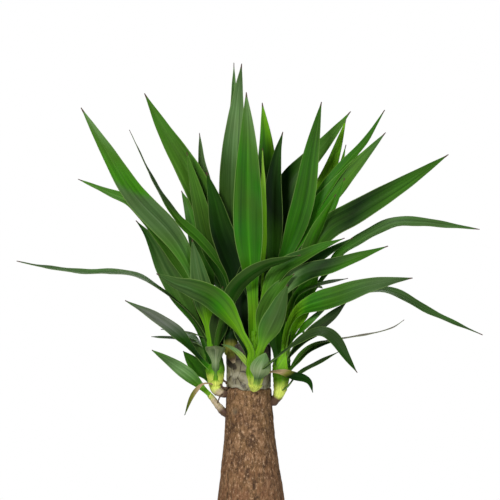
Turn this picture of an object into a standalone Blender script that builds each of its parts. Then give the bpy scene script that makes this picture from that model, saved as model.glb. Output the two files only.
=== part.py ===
# Potted yucca: one thick cane in a plain clay pot, with leafy shoots round its waxed top.
# Metres, +Z up, origin at the middle of the pot's flat base. The front of the plant faces -Y.
# Lengths in the tables below are millimetres; MM turns them into metres.

import math

import bmesh
import bpy
from mathutils import Vector, geometry, noise

MM = 0.001
GAP = 0.35            # clearance between pieces that touch, mm
SHARP_ANGLE = math.radians(40)

# Pot, turned round the Z axis.
POT_HEIGHT = 215.0
POT_RIM_RADIUS = 120.0
POT_BASE_RADIUS = 84.0
POT_WALL = 7.0
POT_FLOOR = 10.0
POT_COLLAR_HEIGHT = 30.0
POT_COLLAR_STEP = 4.0
POT_EDGE = 3.0        # bevel of its edges
POT_MIDDLE = 8.0      # radius of the innermost ring of its floor
DRAIN_RADIUS = 6.0
DRAIN_OFFSET = 46.0
DRAIN_HOLES = 3
DRAIN_SIDES = 16
CUT_PAST = 5.0        # a cutter goes this far past the wall
POT_SIDES = 36

# Soil, level below the rim, with a shallow relief.
SOIL_LEVEL = 192.0
SOIL_RELIEF = 2.5
SOIL_GRAIN = 0.06     # how fine the relief is, per mm
SOIL_GAP = 0.55       # to the pot's facets and to the cane
SOIL_SIDES = 32

# Cane: (height, radius), the buried foot first. It leans a little to the left near its top.
TRUNK_BURIED = [(72, 22), (84, 38), (112, 50), (150, 58), (180, 62)]
TRUNK_SHOWN = [(192, 62.5), (215, 60.5), (250, 57), (285, 53.5), (320, 50), (350, 46), (380, 42),
               (405, 39), (430, 36.8), (455, 35), (488, 33.8)]
TRUNK_SIDES = 44
TRUNK_STEP = 20.0     # height of one row of bark relief
BARK_STOPS = 8.0      # the relief stops this far under the wax
TRUNK_LEAN = -3.5
TRUNK_LEAN_FROM = 320.0
BARK_RELIEF = 1.6
BARK_FADE = 20.0      # the relief fades in over this height, above the soil
RIDGE_ROUND, RIDGE_UP = 9.0, 0.022    # how fine the upright ridges and the flakes are,
FLAKE_ROUND, FLAKE_UP = 4.0, 0.09     # round the cane and per mm up it
PEELED_RADIUS = 30.0  # the cane inside the wax
TRUNK_TOP = 552.0

# Wax over the cut top.
WAX_EDGE = 488.0
WAX_RADIUS = 33.5
WAX_TOP = 555.0
WAX_EDGE_WAVE = 1.8   # how far its ragged edge rises and falls
WAX_DENTS = 0.7
WAX_ROUNDING = 3.5    # at the rim of its top
WAX_ROWS = 3
WAX_SIDES = 28

# Leaf blades.
LEAF_BASE_SHARE = 0.36    # width of the narrow foot, as a share of the full width
LEAF_FOOT_ENDS = 0.22     # places along the blade: the end of its narrow foot,
LEAF_FULL = 0.50          # the start of its full width,
LEAF_TAPERS = 0.54        # the start of its taper,
LEAF_FLESHY_ENDS = 0.35   # and the end of its thicker part
LEAF_TIP_POWER = 1.7
LEAF_FOLD = 0.22          # how far the margins stand above the midrib, per unit of half width
LEAF_THICK_FOOT = 2.6
LEAF_THICK_BLADE = 0.9
LEAF_TIP_WIDTH = 1.3
LEAF_LENGTH_PER_RING = 72.0
ROUTE_STEPS = 24          # fine steps between two points of a route
STEM_SIDES = 10

FRONT = Vector((0, -1, 0))
BACK = Vector((0, 1, 0))
LEFT = Vector((-1, 0, 0))
RIGHT = Vector((1, 0, 0))
UP = Vector((0, 0, 1))

# Each shoot: its stem as (x, y, z, radius), from its root in the cane to its growing point,
# then its leaves as (points from foot to tip, full width, the way the upper face looks at
# the foot, the way it looks at the tip).
SHOOTS = {
    "shoot_left": {
        "stem": [(-27, -4, 482, 5), (-38, -5, 481, 9), (-51, -6, 486, 13.5), (-53, -7, 503, 12),
                 (-54, -8, 527, 11.5), (-57, -9, 550, 9), (-56, -9, 576, 4)],
        "leaves": [
            ([(-57, -9, 535), (-70, -14, 610), (-97, -20, 683), (-120, -23, 720), (-174, -27, 779),
              (-217, -30, 849), (-252, -32, 908)], 37, FRONT + RIGHT, FRONT + RIGHT * 0.2),
            ([(-58, -5, 540), (-75, -4, 610), (-103, 0, 668), (-140, 4, 724), (-178, 8, 765),
              (-216, 10, 782), (-260, 12, 801)], 30, FRONT + RIGHT, UP + FRONT * 0.8),
            ([(-59, -6, 530), (-76, -4, 574), (-102, 0, 619), (-129, 4, 667), (-152, 6, 713),
              (-173, 8, 739)], 33, BACK, BACK + UP),
            ([(-58, -9, 535), (-72, -12, 570), (-96, -16, 605), (-135, -20, 637), (-172, -22, 658),
              (-212, -23, 663), (-250, -24, 663), (-313, -26, 672), (-349, -28, 680)], 30,
              RIGHT + UP, UP + FRONT * 0.3),
            ([(-56, -12, 512), (-70, -18, 526), (-87, -24, 547), (-109, -30, 572), (-146, -36, 599),
              (-187, -40, 622)], 23, FRONT + RIGHT, UP + FRONT * 0.8),
            ([(-56, -10, 548), (-66, -12, 562), (-99, -14, 573), (-135, -16, 577)], 11, UP, UP),
            ([(-60, -4, 530), (-73, -2, 549), (-94, 2, 559), (-114, 4, 562), (-150, 6, 564)], 12,
              UP + RIGHT, UP + FRONT * 0.6),
            ([(-56, -6, 490), (-67, -6, 503), (-84, -4, 522), (-102, -2, 543)], 23, FRONT + UP,
              FRONT + UP * 0.6),
            ([(-57, -3, 505), (-70, 4, 533), (-84, 9, 552), (-98, 12, 565)], 13, BACK, BACK + UP),
            ([(-57, -3, 535), (-70, 8, 580), (-86, 14, 620), (-104, 18, 655)], 30, FRONT,
              FRONT + RIGHT * 0.3),
            ([(-58, -14, 535), (-64, -20, 585), (-70, -26, 620), (-79, -28, 664), (-88, -26, 712)],
              32, BACK, BACK + RIGHT * 0.3),
            ([(-56, -8, 525), (-53, -18, 555), (-46, -24, 600), (-42, -26, 642)], 28, BACK, BACK),
            ([(-53, -19, 503), (-53, -23, 520), (-53, -29, 538), (-53, -42, 550), (-54, -66, 554),
              (-55, -90, 559)], 27, BACK, UP),
            ([(-52, -14, 540), (-46, -30, 580), (-34, -50, 615), (-22, -62, 642), (-1, -72, 663),
              (25, -76, 678), (46, -78, 684), (73, -80, 692)], 29, BACK + LEFT, BACK + UP),
            ([(-58, -2, 540), (-66, 25, 600), (-80, 70, 655), (-98, 130, 690), (-110, 190, 690)],
              32, FRONT, UP),
            ([(-56, 0, 550), (-62, 20, 620), (-76, 55, 690), (-92, 95, 745), (-108, 135, 780)], 32,
              FRONT, UP + FRONT),
            ([(-58, -1, 525), (-68, 16, 540), (-86, 50, 554), (-100, 90, 562), (-112, 130, 558)],
              24, FRONT + RIGHT, UP),
        ],
    },
    "shoot_front": {
        "stem": [(4, -20, 488, 6), (5, -32, 492, 10.5), (6, -42, 500, 12.5), (6, -46, 513, 12),
                 (5, -47, 531, 9), (4, -46, 552, 7), (4, -45, 577, 4)],
        "leaves": [
            ([(5, -46, 535), (4, -44, 575), (3, -42, 620), (0, -40, 665), (-4, -38, 728),
              (-5, -34, 800), (-5, -30, 872), (-7, -28, 931)], 44, FRONT, FRONT),
            ([(2, -48, 530), (-4, -58, 553), (-15, -66, 574), (-24, -71, 590), (-54, -82, 626),
              (-88, -92, 644), (-111, -98, 652), (-138, -104, 666)], 42, BACK + RIGHT,
              BACK + UP * 0.7),
            ([(7, -48, 525), (14, -58, 550), (22, -66, 572), (37, -76, 605), (45, -80, 627),
              (54, -84, 649)], 33, BACK, BACK + LEFT * 0.3),
            ([(7, -46, 535), (15, -52, 575), (25, -56, 612), (43, -60, 645), (64, -64, 663)], 30,
              FRONT, FRONT + UP),
            ([(3, -50, 505), (-4, -52, 524), (-15, -52, 541), (-30, -48, 553), (-44, -44, 557)], 9,
              FRONT + UP, UP + FRONT),
            ([(7, -55, 495), (11, -60, 512), (16, -62, 530), (22, -63, 547)], 31, BACK,
              BACK + LEFT * 0.4),
            ([(6, -50, 512), (22, -60, 525), (51, -68, 550), (87, -76, 574), (107, -80, 578),
              (124, -82, 567), (141, -84, 541), (156, -85, 519)], 26, UP + LEFT, UP + FRONT * 0.8),
            ([(6, -46, 540), (22, -50, 595), (48, -55, 640), (81, -60, 665), (118, -66, 675),
              (163, -74, 691), (201, -80, 705)], 27, FRONT + LEFT, FRONT + UP * 0.6),
            ([(5, -46, 550), (17, -48, 610), (32, -50, 652), (51, -54, 675), (73, -58, 687),
              (100, -62, 701), (138, -66, 716)], 28, FRONT + LEFT, FRONT + UP),
            ([(4, -44, 515), (-6, -38, 555), (-12, -33, 592), (-14, -30, 645)], 32, FRONT, FRONT),
            ([(6, -44, 545), (30, -44, 625), (70, -46, 665), (110, -48, 692), (151, -50, 716)], 21,
              FRONT + LEFT, FRONT + UP * 0.5),
        ],
    },
    "shoot_right": {
        "stem": [(26, -4, 464, 5), (35, -8, 469, 9), (42, -11, 481, 12), (44, -12, 496, 12.5),
                 (45, -13, 520, 12), (48, -14, 550, 10), (53, -14, 580, 4)],
        "leaves": [
            ([(51, -14, 535), (58, -14, 576), (73, -12, 620), (84, -10, 650), (95, -6, 700),
              (117, -2, 729), (151, 4, 748), (192, 8, 772), (240, 12, 801), (297, 16, 838)], 38,
              FRONT + LEFT, FRONT + UP * 0.3),
            ([(50, -16, 545), (62, -18, 600), (80, -18, 670), (91, -16, 710), (108, -14, 745),
              (127, -12, 779)], 31, BACK + LEFT, BACK + LEFT),
            ([(52, -10, 548), (66, -6, 620), (88, 2, 690), (108, 8, 735), (126, 12, 765),
              (141, 14, 803)], 20, FRONT, FRONT + LEFT * 0.5),
            ([(53, -12, 535), (64, -8, 570), (96, 0, 635), (118, 6, 665), (133, 10, 688),
              (155, 14, 704), (184, 18, 721), (216, 20, 735), (253, 22, 736), (298, 22, 731),
              (345, 22, 725)], 30, LEFT + UP, UP + FRONT),
            ([(49, -18, 530), (54, -26, 575), (64, -36, 599), (81, -46, 614), (127, -62, 630),
              (168, -76, 645), (205, -88, 654), (236, -96, 659)], 33, FRONT + LEFT,
              FRONT + UP * 0.7),
            ([(51, -12, 525), (59, -12, 570), (77, -11, 606), (112, -9, 624), (150, -8, 630),
              (190, -8, 636), (219, -10, 630), (264, -14, 605), (306, -18, 586), (346, -22, 569)],
              26, LEFT + UP, UP + FRONT * 0.5),
            ([(52, -16, 540), (58, -22, 590), (70, -28, 630), (100, -34, 645), (144, -40, 655)], 15,
              LEFT + UP, UP + FRONT * 0.8),
            ([(50, -18, 520), (66, -24, 551), (90, -32, 573), (115, -38, 594), (141, -44, 619)], 26,
              LEFT + UP, BACK + UP * 0.5),
            ([(51, -20, 530), (60, -26, 558), (78, -34, 580), (98, -40, 600), (117, -44, 618)], 17,
              LEFT + UP, FRONT + UP),
            ([(45, -15, 494), (56, -24, 513), (69, -30, 532), (85, -34, 549), (103, -38, 559),
              (138, -42, 566), (177, -46, 573), (209, -48, 582), (227, -49, 594)], 8, LEFT + UP,
              UP + FRONT * 0.3),
            ([(44, -14, 492), (55, -23, 511), (68, -29, 530), (84, -33, 547), (104, -36, 557),
              (132, -39, 563)], 15, FRONT + LEFT + UP, UP + FRONT),
            ([(47, -14, 508), (55, -20, 530), (66, -25, 548), (80, -29, 560), (98, -32, 568)], 15,
              LEFT + UP, UP + FRONT),
            ([(42, -14, 484), (54, -24, 491), (70, -30, 511), (102, -38, 530), (132, -44, 547)], 12,
              UP + LEFT + FRONT * 0.5, UP + FRONT * 0.6),
            ([(52, -8, 545), (60, 16, 610), (76, 56, 665), (95, 110, 700), (112, 165, 700)], 32,
              FRONT, UP),
            ([(45, -16, 505), (40, -21, 535), (36, -20, 566), (35, -10, 605), (44, -2, 668)], 34,
              FRONT, FRONT),
            ([(53, -16, 535), (64, -22, 585), (80, -27, 630), (102, -34, 668)], 36, FRONT + LEFT,
              FRONT),
            ([(50, -7, 530), (60, 14, 575), (78, 50, 612), (97, 95, 632), (112, 140, 628)], 27,
              FRONT + LEFT, UP),
        ],
    },
    "shoot_back_left": {
        "stem": [(-14, -12, 520, 6), (-21, -18, 529, 9), (-28, -20, 541, 10.5),
                 (-30, -14, 556, 9.5), (-29, -3, 576, 8), (-29, 9, 598, 4)],
        "leaves": [
            ([(-29, -10, 560), (-30, 3, 608), (-36, 5, 653), (-56, 4, 686), (-79, 2, 713),
              (-109, 0, 741), (-143, 0, 793), (-182, 0, 875)], 19, FRONT, RIGHT + UP * 0.45),
            ([(-29, 2, 575), (-39, 26, 640), (-59, 32, 732), (-88, 34, 800), (-133, 36, 877),
              (-161, 38, 930)], 43, FRONT + RIGHT * 0.4, FRONT + RIGHT * 0.4),
            ([(-29, -2, 570), (-40, 18, 640), (-62, 20, 700), (-79, 20, 770), (-97, 20, 842)], 28,
              FRONT, FRONT),
            ([(-28, -8, 562), (-25, 4, 615), (-23, 6, 662), (-33, 7, 695), (-45, 8, 728),
              (-55, 9, 770), (-67, 10, 812)], 38, FRONT, FRONT),
            ([(-29, 0, 575), (-29, 24, 650), (-29, 30, 770), (-27, 36, 845), (-20, 40, 925),
              (-14, 42, 975)], 40, FRONT, FRONT + RIGHT * 0.3),
            ([(-30, -4, 570), (-42, 44, 630), (-58, 100, 690), (-70, 160, 720), (-76, 215, 705)],
              35, FRONT, UP),
            ([(-29, 2, 580), (-39, 54, 650), (-47, 105, 735), (-56, 155, 785)], 34, FRONT,
              UP + FRONT),
            ([(-28, -11, 564), (-21, -6, 588), (-12, 0, 618), (-10, 4, 680)], 40, FRONT, FRONT),
            ([(-30, -4, 568), (-44, 42, 592), (-58, 84, 606), (-72, 128, 604), (-82, 168, 580)], 28,
              FRONT + RIGHT, UP),
        ],
    },
    "shoot_back": {
        "stem": [(7, 20, 500, 6), (11, 30, 516, 9.5), (14, 34, 536, 11), (15, 34, 560, 9.5),
                 (16, 33, 586, 7.5), (16, 32, 610, 4)],
        "leaves": [
            ([(12, 35, 585), (-16, 54, 660), (-55, 72, 740), (-74, 84, 812), (-79, 90, 870)], 30,
              FRONT, FRONT + RIGHT),
            ([(13, 35, 590), (0, 50, 700), (-18, 62, 820), (-26, 70, 900), (-26, 74, 977)], 26,
              FRONT, FRONT + RIGHT),
            ([(16, 32, 590), (23, 36, 680), (24, 40, 770), (23, 44, 855), (17, 46, 916)], 35, FRONT,
              FRONT),
            ([(17, 31, 590), (31, 26, 665), (33, 24, 724), (34, 24, 792), (40, 24, 840),
              (48, 24, 872)], 30, FRONT, FRONT),
            ([(18, 31, 585), (38, 22, 657), (58, 18, 702), (73, 16, 747), (82, 16, 785),
              (89, 18, 830), (96, 20, 868), (106, 22, 917)], 34, FRONT, FRONT),
            ([(16, 34, 595), (32, 46, 690), (54, 56, 786), (91, 62, 831), (117, 66, 860),
              (152, 70, 903)], 36, FRONT, FRONT + UP * 0.5),
            ([(17, 36, 590), (48, 60, 680), (88, 76, 750), (117, 86, 804), (132, 90, 845),
              (146, 92, 892)], 28, FRONT, FRONT + LEFT * 0.2),
            ([(17, 36, 585), (60, 66, 690), (104, 80, 760), (135, 90, 812), (146, 94, 852)], 18,
              FRONT, FRONT),
            ([(18, 32, 580), (36, 34, 640), (56, 36, 695), (90, 38, 750), (126, 42, 804),
              (153, 46, 835), (174, 50, 859), (203, 54, 905)], 22, FRONT + LEFT, UP + FRONT),
            ([(19, 30, 575), (36, 25, 630), (54, 24, 684), (77, 27, 721), (102, 31, 756),
              (133, 35, 791), (159, 39, 821), (179, 42, 843), (204, 45, 871)], 34, FRONT + LEFT,
              UP * 0.6 + FRONT),
            ([(16, 38, 570), (40, 80, 640), (66, 130, 690), (88, 185, 700), (104, 235, 680)], 36,
              FRONT, UP),
            ([(14, 40, 560), (22, 90, 610), (30, 150, 640), (38, 210, 630), (44, 260, 595)], 36,
              FRONT, UP),
            ([(12, 40, 575), (-6, 90, 650), (-24, 150, 700), (-40, 210, 715), (-54, 265, 695)], 38,
              FRONT, UP),
            ([(10, 38, 565), (-16, 75, 610), (-44, 120, 640), (-70, 165, 640), (-92, 205, 615)], 32,
              FRONT, UP),
            ([(15, 38, 590), (20, 80, 690), (18, 120, 770), (10, 150, 830)], 36, FRONT, UP + FRONT),
            ([(16, 36, 595), (44, 66, 680), (60, 100, 750), (72, 140, 800)], 32, FRONT, UP + FRONT),
            ([(14, 38, 585), (-4, 72, 665), (-18, 116, 745), (-26, 160, 805)], 32, FRONT,
              UP + FRONT),
            ([(12, 30, 565), (4, 24, 590), (-2, 22, 630), (-2, 22, 690)], 34, FRONT, FRONT),
            ([(14, 42, 548), (30, 84, 578), (52, 128, 588), (72, 170, 574), (86, 205, 548)], 26,
              FRONT, UP),
        ],
    },
    "sprout_low": {
        "stem": [(-31, -4, 448, 5), (-39, -5, 450, 6), (-46, -6, 457, 5), (-54, -9, 467, 4.2),
                 (-63, -12, 478, 3.4)],
        "leaves": [
            ([(-49, -7, 461), (-57, -10, 472), (-69, -15, 485), (-87, -20, 503), (-107, -24, 519),
              (-128, -26, 534), (-148, -28, 547)], 22, FRONT + RIGHT, UP + FRONT * 1.3),
        ],
    },
}

# Withered leaves: the shoot that each hangs on, then its route, width and facings.
DRY_LEAVES = {
    "dry_leaf_left": ("shoot_left", [(-54, -12, 492), (-61, -20, 496), (-72, -28, 496),
        (-82, -32, 487), (-90, -33, 474), (-99, -33, 450)], 7, FRONT + UP, FRONT + UP),
    "dry_leaf_right": ("shoot_front", [(8, -44, 510), (22, -43, 514), (36, -42, 516),
        (50, -42, 514), (66, -42, 509), (79, -42, 506), (87, -42, 500), (92, -42, 485)], 15,
        UP + FRONT * 0.1, FRONT + RIGHT * 0.3),
}

COLOURS = {
    "leaf": ((0.045, 0.16, 0.025), 0.42),
    "dry": ((0.42, 0.30, 0.16), 0.8),
    "bark": ((0.20, 0.12, 0.07), 0.9),
    "wax": ((0.27, 0.25, 0.19), 0.6),
    "clay": ((0.48, 0.20, 0.11), 0.85),
    "soil": ((0.035, 0.024, 0.017), 1.0),
}


def clear_scene():
    for obj in list(bpy.data.objects):
        bpy.data.objects.remove(obj)


def material(name):
    colour, roughness = COLOURS[name]
    found = bpy.data.materials.get(name)
    if found:
        return found
    made = bpy.data.materials.new(name)
    made.use_nodes = True
    shader = made.node_tree.nodes["Principled BSDF"]
    shader.inputs["Base Color"].default_value = (*colour, 1)
    shader.inputs["Roughness"].default_value = roughness
    shader.inputs["Metallic"].default_value = 0
    return made


def add_object(name, mesh, finish):
    obj = bpy.data.objects.new(name, mesh)
    bpy.context.scene.collection.objects.link(obj)
    mesh.materials.append(material(finish))
    mesh.shade_smooth()
    mesh.set_sharp_from_angle(angle=SHARP_ANGLE)
    return obj


def loft(name, rings, finish, split=None):
    """A closed solid through rings of as many points each, in mm, with a face over each end.

    split(side) says which way the faces of a side are cut in two; without it they stay whole.
    """
    mesh = bpy.data.meshes.new(name)
    bm = bmesh.new()
    rows = [[bm.verts.new(Vector(point) * MM) for point in ring] for ring in rings]
    for low, high in zip(rows, rows[1:]):
        for side in range(len(low)):
            after = (side + 1) % len(low)
            a, b, c, d = low[side], low[after], high[after], high[side]
            if split is None:
                bm.faces.new((a, b, c, d))
            elif split(side):
                bm.faces.new((a, b, c))
                bm.faces.new((a, c, d))
            else:
                bm.faces.new((a, b, d))
                bm.faces.new((b, c, d))
    bm.faces.new(reversed(rows[0]))
    bm.faces.new(rows[-1])
    bm.normal_update()
    bmesh.ops.recalc_face_normals(bm, faces=bm.faces)
    bm.to_mesh(mesh)
    bm.free()
    return add_object(name, mesh, finish)


def circle(radius, height, sides, centre=(0, 0)):
    """Points of a level circle. radius and height are numbers, or functions of the angle."""
    points = []
    for step in range(sides):
        angle = 2 * math.pi * step / sides
        r = radius(angle) if callable(radius) else radius
        z = height(angle) if callable(height) else height
        points.append((centre[0] + r * math.cos(angle), centre[1] + r * math.sin(angle), z))
    return points


def smooth_route(points, count):
    """count points evenly spaced along a smooth curve through the given ones."""
    knots = [Vector(point) for point in points]
    fine = []
    for i in range(len(knots) - 1):
        before, start, end = knots[max(i - 1, 0)], knots[i], knots[i + 1]
        after = knots[min(i + 2, len(knots) - 1)]
        span = (end - start).length
        leave = (end - before).normalized() * span / 3
        arrive = (after - start).normalized() * span / 3
        fine += geometry.interpolate_bezier(start, start + leave, end - arrive, end, ROUTE_STEPS)[:-1]
    fine.append(knots[-1])
    lengths = [0.0]
    for a, b in zip(fine, fine[1:]):
        lengths.append(lengths[-1] + (b - a).length)
    route, at = [], 0
    for step in range(count):
        goal = lengths[-1] * step / (count - 1)
        while at < len(fine) - 2 and lengths[at + 1] < goal:
            at += 1
        share = (goal - lengths[at]) / (lengths[at + 1] - lengths[at])
        route.append(fine[at].lerp(fine[at + 1], share))
    return route


def directions(route):
    last = len(route) - 1
    return [(route[min(i + 1, last)] - route[max(i - 1, 0)]).normalized() for i in range(last + 1)]


def blade_share(t):
    """Width of a blade at t from foot to tip, as a share of its full width."""
    rise = min(max((t - LEAF_FOOT_ENDS) / (LEAF_FULL - LEAF_FOOT_ENDS), 0), 1)
    share = LEAF_BASE_SHARE + (1 - LEAF_BASE_SHARE) * rise * rise * (3 - 2 * rise)
    if t > LEAF_TAPERS:
        share *= 1 - ((t - LEAF_TAPERS) / (1 - LEAF_TAPERS)) ** LEAF_TIP_POWER
    return share


def blade(name, points, width, face_foot, face_tip, finish="leaf", grow=0.0):
    """A folded blade: three points across its upper face and three across its lower one."""
    chord = sum((Vector(b) - Vector(a)).length for a, b in zip(points, points[1:]))
    count = max(4 + round(chord / LEAF_LENGTH_PER_RING), len(points) + 2)
    route = smooth_route(points, count)
    rings = []
    for i, (place, ahead) in enumerate(zip(route, directions(route))):
        t = i / (len(route) - 1)
        facing = face_foot.normalized().lerp(face_tip.normalized(), t)
        up = (facing - ahead * facing.dot(ahead)).normalized()
        across = ahead.cross(up)
        half = max(width * blade_share(t), LEAF_TIP_WIDTH) / 2
        fleshy = max(1 - t / LEAF_FLESHY_ENDS, 0)
        thick = LEAF_THICK_BLADE + (LEAF_THICK_FOOT - LEAF_THICK_BLADE) * fleshy
        top = up * (thick / 2 + grow)
        row = [place + across * u * (half + grow) + up * LEAF_FOLD * half * (abs(u) - 0.5)
               for u in (-1, 0, 1)]
        rings.append([point + top for point in row] + [point - top for point in reversed(row)])
    return loft(name, rings, finish, split=lambda side: side in (0, 3))


def stem(name, stations, finish="leaf", grow=0.0):
    """A swollen stem through (x, y, z, radius) stations."""
    count = 2 * len(stations) - 1
    route = smooth_route([station[:3] for station in stations], count)
    radii = smooth_route([(station[3], 0, i) for i, station in enumerate(stations)], count)
    turn = 2 * math.pi / STEM_SIDES
    rings = []
    for place, ahead, radius in zip(route, directions(route), radii):
        across = ahead.cross(FRONT).normalized() * (radius.x + grow)
        up = across.cross(ahead)
        rings.append([place + across * math.cos(turn * k) + up * math.sin(turn * k)
                      for k in range(STEM_SIDES)])
    return loft(name, rings, finish)


def apply_boolean(obj, others, operation):
    group = bpy.data.collections.new("operands")
    bpy.context.scene.collection.children.link(group)
    for other in others:
        bpy.context.scene.collection.objects.unlink(other)
        group.objects.link(other)
    modifier = obj.modifiers.new(operation.lower(), "BOOLEAN")
    modifier.operation = operation
    modifier.operand_type = "COLLECTION"
    modifier.collection = group
    modifier.solver = "EXACT"
    bpy.context.view_layer.update()
    graph = bpy.context.evaluated_depsgraph_get()
    mesh = bpy.data.meshes.new_from_object(obj.evaluated_get(graph))
    obj.modifiers.clear()
    obj.data = mesh
    for other in others:
        bpy.data.objects.remove(other)
    bpy.data.collections.remove(group)


def trunk_centre(z):
    return (TRUNK_LEAN * min(max((z - TRUNK_LEAN_FROM) / (WAX_EDGE - TRUNK_LEAN_FROM), 0), 1), 0)


def wax_edge(angle):
    """Height of the ragged line where the wax ends and the bark begins."""
    return WAX_EDGE + WAX_EDGE_WAVE * (math.sin(2 * angle + 1) + 0.6 * math.sin(5 * angle))


def bark_radius(radius, z):
    """Radius of the cane at a height, with upright ridges that fade out at the soil."""
    fade = min(max((z - SOIL_LEVEL) / BARK_FADE, 0), 1)

    def at(angle):
        out = Vector((math.cos(angle), math.sin(angle), 0))
        ridge = noise.noise(out * RIDGE_ROUND + UP * z * RIDGE_UP)
        flake = noise.noise(out * FLAKE_ROUND + UP * (z * FLAKE_UP + 7))
        return radius + fade * BARK_RELIEF * (ridge + flake / 2)
    return at


def shown_radius(z):
    """Radius of the cane above the soil, between its stations."""
    for (low, wide), (high, narrow) in zip(TRUNK_SHOWN, TRUNK_SHOWN[1:]):
        if z <= high:
            return wide + (narrow - wide) * (z - low) / (high - low)
    return TRUNK_SHOWN[-1][1]


def make_trunk():
    rings = [circle(radius, z, TRUNK_SIDES) for z, radius in TRUNK_BURIED]
    shown = WAX_EDGE - BARK_STOPS - SOIL_LEVEL
    rows = round(shown / TRUNK_STEP)
    for row in range(rows + 1):
        z = SOIL_LEVEL + shown * row / rows
        rings.append(circle(bark_radius(shown_radius(z), z), z, TRUNK_SIDES, trunk_centre(z)))
    edge = TRUNK_SHOWN[-1][1]
    rings.append(circle(edge, wax_edge, TRUNK_SIDES, trunk_centre(WAX_EDGE)))
    rings.append(circle(PEELED_RADIUS, wax_edge, TRUNK_SIDES, trunk_centre(WAX_EDGE)))
    rings.append(circle(PEELED_RADIUS, TRUNK_TOP, TRUNK_SIDES, trunk_centre(WAX_EDGE)))
    return loft("trunk", rings, "bark")


def make_wax():
    centre = trunk_centre(WAX_EDGE)

    def foot(angle):
        return wax_edge(angle) + GAP

    def dented(angle):
        out = Vector((math.cos(angle), math.sin(angle), 0))
        return WAX_RADIUS + WAX_DENTS * noise.noise(out * 3 + UP * 2)

    inner = PEELED_RADIUS + GAP
    rings = [circle(inner * share, TRUNK_TOP + GAP, WAX_SIDES, centre) for share in (0.1, 1)]
    rings.append(circle(inner, foot, WAX_SIDES, centre))
    rings.append(circle(dented, foot, WAX_SIDES, centre))
    rim = WAX_TOP - WAX_ROUNDING
    for row in range(1, WAX_ROWS + 1):
        rings.append(circle(dented, WAX_EDGE + (rim - WAX_EDGE) * row / WAX_ROWS, WAX_SIDES, centre))
    rings.append(circle(WAX_RADIUS - WAX_ROUNDING, WAX_TOP, WAX_SIDES, centre))
    rings.append(circle(WAX_RADIUS * 0.3, WAX_TOP + 1, WAX_SIDES, centre))
    return loft("wax_seal", rings, "wax")


def pot_inside(z):
    """Inner radius of the pot at a height."""
    share = (z - POT_FLOOR) / (POT_HEIGHT - POT_FLOOR)
    return POT_BASE_RADIUS - POT_WALL + (POT_RIM_RADIUS - POT_COLLAR_STEP - POT_BASE_RADIUS) * share


def make_pot():
    collar = POT_HEIGHT - POT_COLLAR_HEIGHT
    under = pot_inside(collar) + POT_WALL
    top = pot_inside(POT_HEIGHT)
    outline = [(POT_MIDDLE, 0), (POT_BASE_RADIUS - POT_EDGE, 0), (POT_BASE_RADIUS, POT_EDGE),
               (under, collar - POT_EDGE), (POT_RIM_RADIUS - POT_EDGE, collar),
               (POT_RIM_RADIUS, POT_HEIGHT - POT_EDGE), (POT_RIM_RADIUS - POT_EDGE, POT_HEIGHT),
               (top + POT_EDGE, POT_HEIGHT), (top, POT_HEIGHT - POT_EDGE),
               (pot_inside(POT_FLOOR), POT_FLOOR), (POT_MIDDLE, POT_FLOOR)]
    pot = loft("pot", [circle(radius, z, POT_SIDES) for radius, z in outline], "clay")
    drains = []
    for hole in range(DRAIN_HOLES):
        angle = 2 * math.pi * hole / DRAIN_HOLES + math.pi / 2
        centre = (DRAIN_OFFSET * math.cos(angle), DRAIN_OFFSET * math.sin(angle))
        ends = [circle(DRAIN_RADIUS, z, DRAIN_SIDES, centre) for z in (-CUT_PAST, POT_FLOOR + CUT_PAST)]
        drains.append(loft("drain", ends, "clay"))
    apply_boolean(pot, drains, "DIFFERENCE")
    return pot


def make_soil():
    floor = pot_inside(POT_FLOOR) - GAP
    rings = [circle(radius, POT_FLOOR + GAP, SOIL_SIDES) for radius in (POT_MIDDLE, floor)]
    wall = pot_inside(SOIL_LEVEL) - SOIL_GAP
    hole = TRUNK_SHOWN[0][1] + GAP
    rings.append(circle(wall, SOIL_LEVEL - 2, SOIL_SIDES))
    for share in (0.95, 0.72, 0.5, 0.27, 0.08):
        radius = hole + (wall - hole) * share

        def crumbled(angle, radius=radius):
            spot = Vector((radius * math.cos(angle), radius * math.sin(angle), 0))
            return SOIL_LEVEL - 1 + SOIL_RELIEF * noise.noise(spot * SOIL_GRAIN)
        rings.append(circle(radius, crumbled, SOIL_SIDES))
    rings.append(circle(hole, SOIL_LEVEL - 1, SOIL_SIDES))
    for z, radius in reversed(TRUNK_BURIED):
        rings.append(circle(radius + SOIL_GAP, z - GAP, SOIL_SIDES))
    return loft("soil", rings, "soil")


def make_shoot(name, plan):
    body = stem(name, plan["stem"])
    leaves = [blade(f"{name}_leaf", *leaf) for leaf in plan["leaves"]]
    apply_boolean(body, leaves, "UNION")
    return body


def seat_shoots(pieces):
    """Cuts the place of each shoot's root into the cane and the wax, with a little clearance."""
    for piece in pieces:
        roots = [stem("root", plan["stem"], grow=GAP) for plan in SHOOTS.values()]
        apply_boolean(piece, roots, "DIFFERENCE")


def main():
    clear_scene()
    make_pot()
    make_soil()
    seat_shoots([make_trunk(), make_wax()])
    shoots = {name: make_shoot(name, plan) for name, plan in SHOOTS.items()}
    for name, (host, *leaf) in DRY_LEAVES.items():
        blade(name, *leaf, finish="dry")
        apply_boolean(shoots[host], [blade("seat", *leaf, grow=GAP)], "DIFFERENCE")


main()
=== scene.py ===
# Potted yucca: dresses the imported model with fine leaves, bark, wax, clay and soil.
# Lengths in the dictionaries are millimetres, mm turns them into Blender's metres.
# The plant's front faces -Y, its cane stands on the Z axis.

import math

import bpy
import numpy as np
from mathutils import Matrix, Vector, geometry


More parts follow.
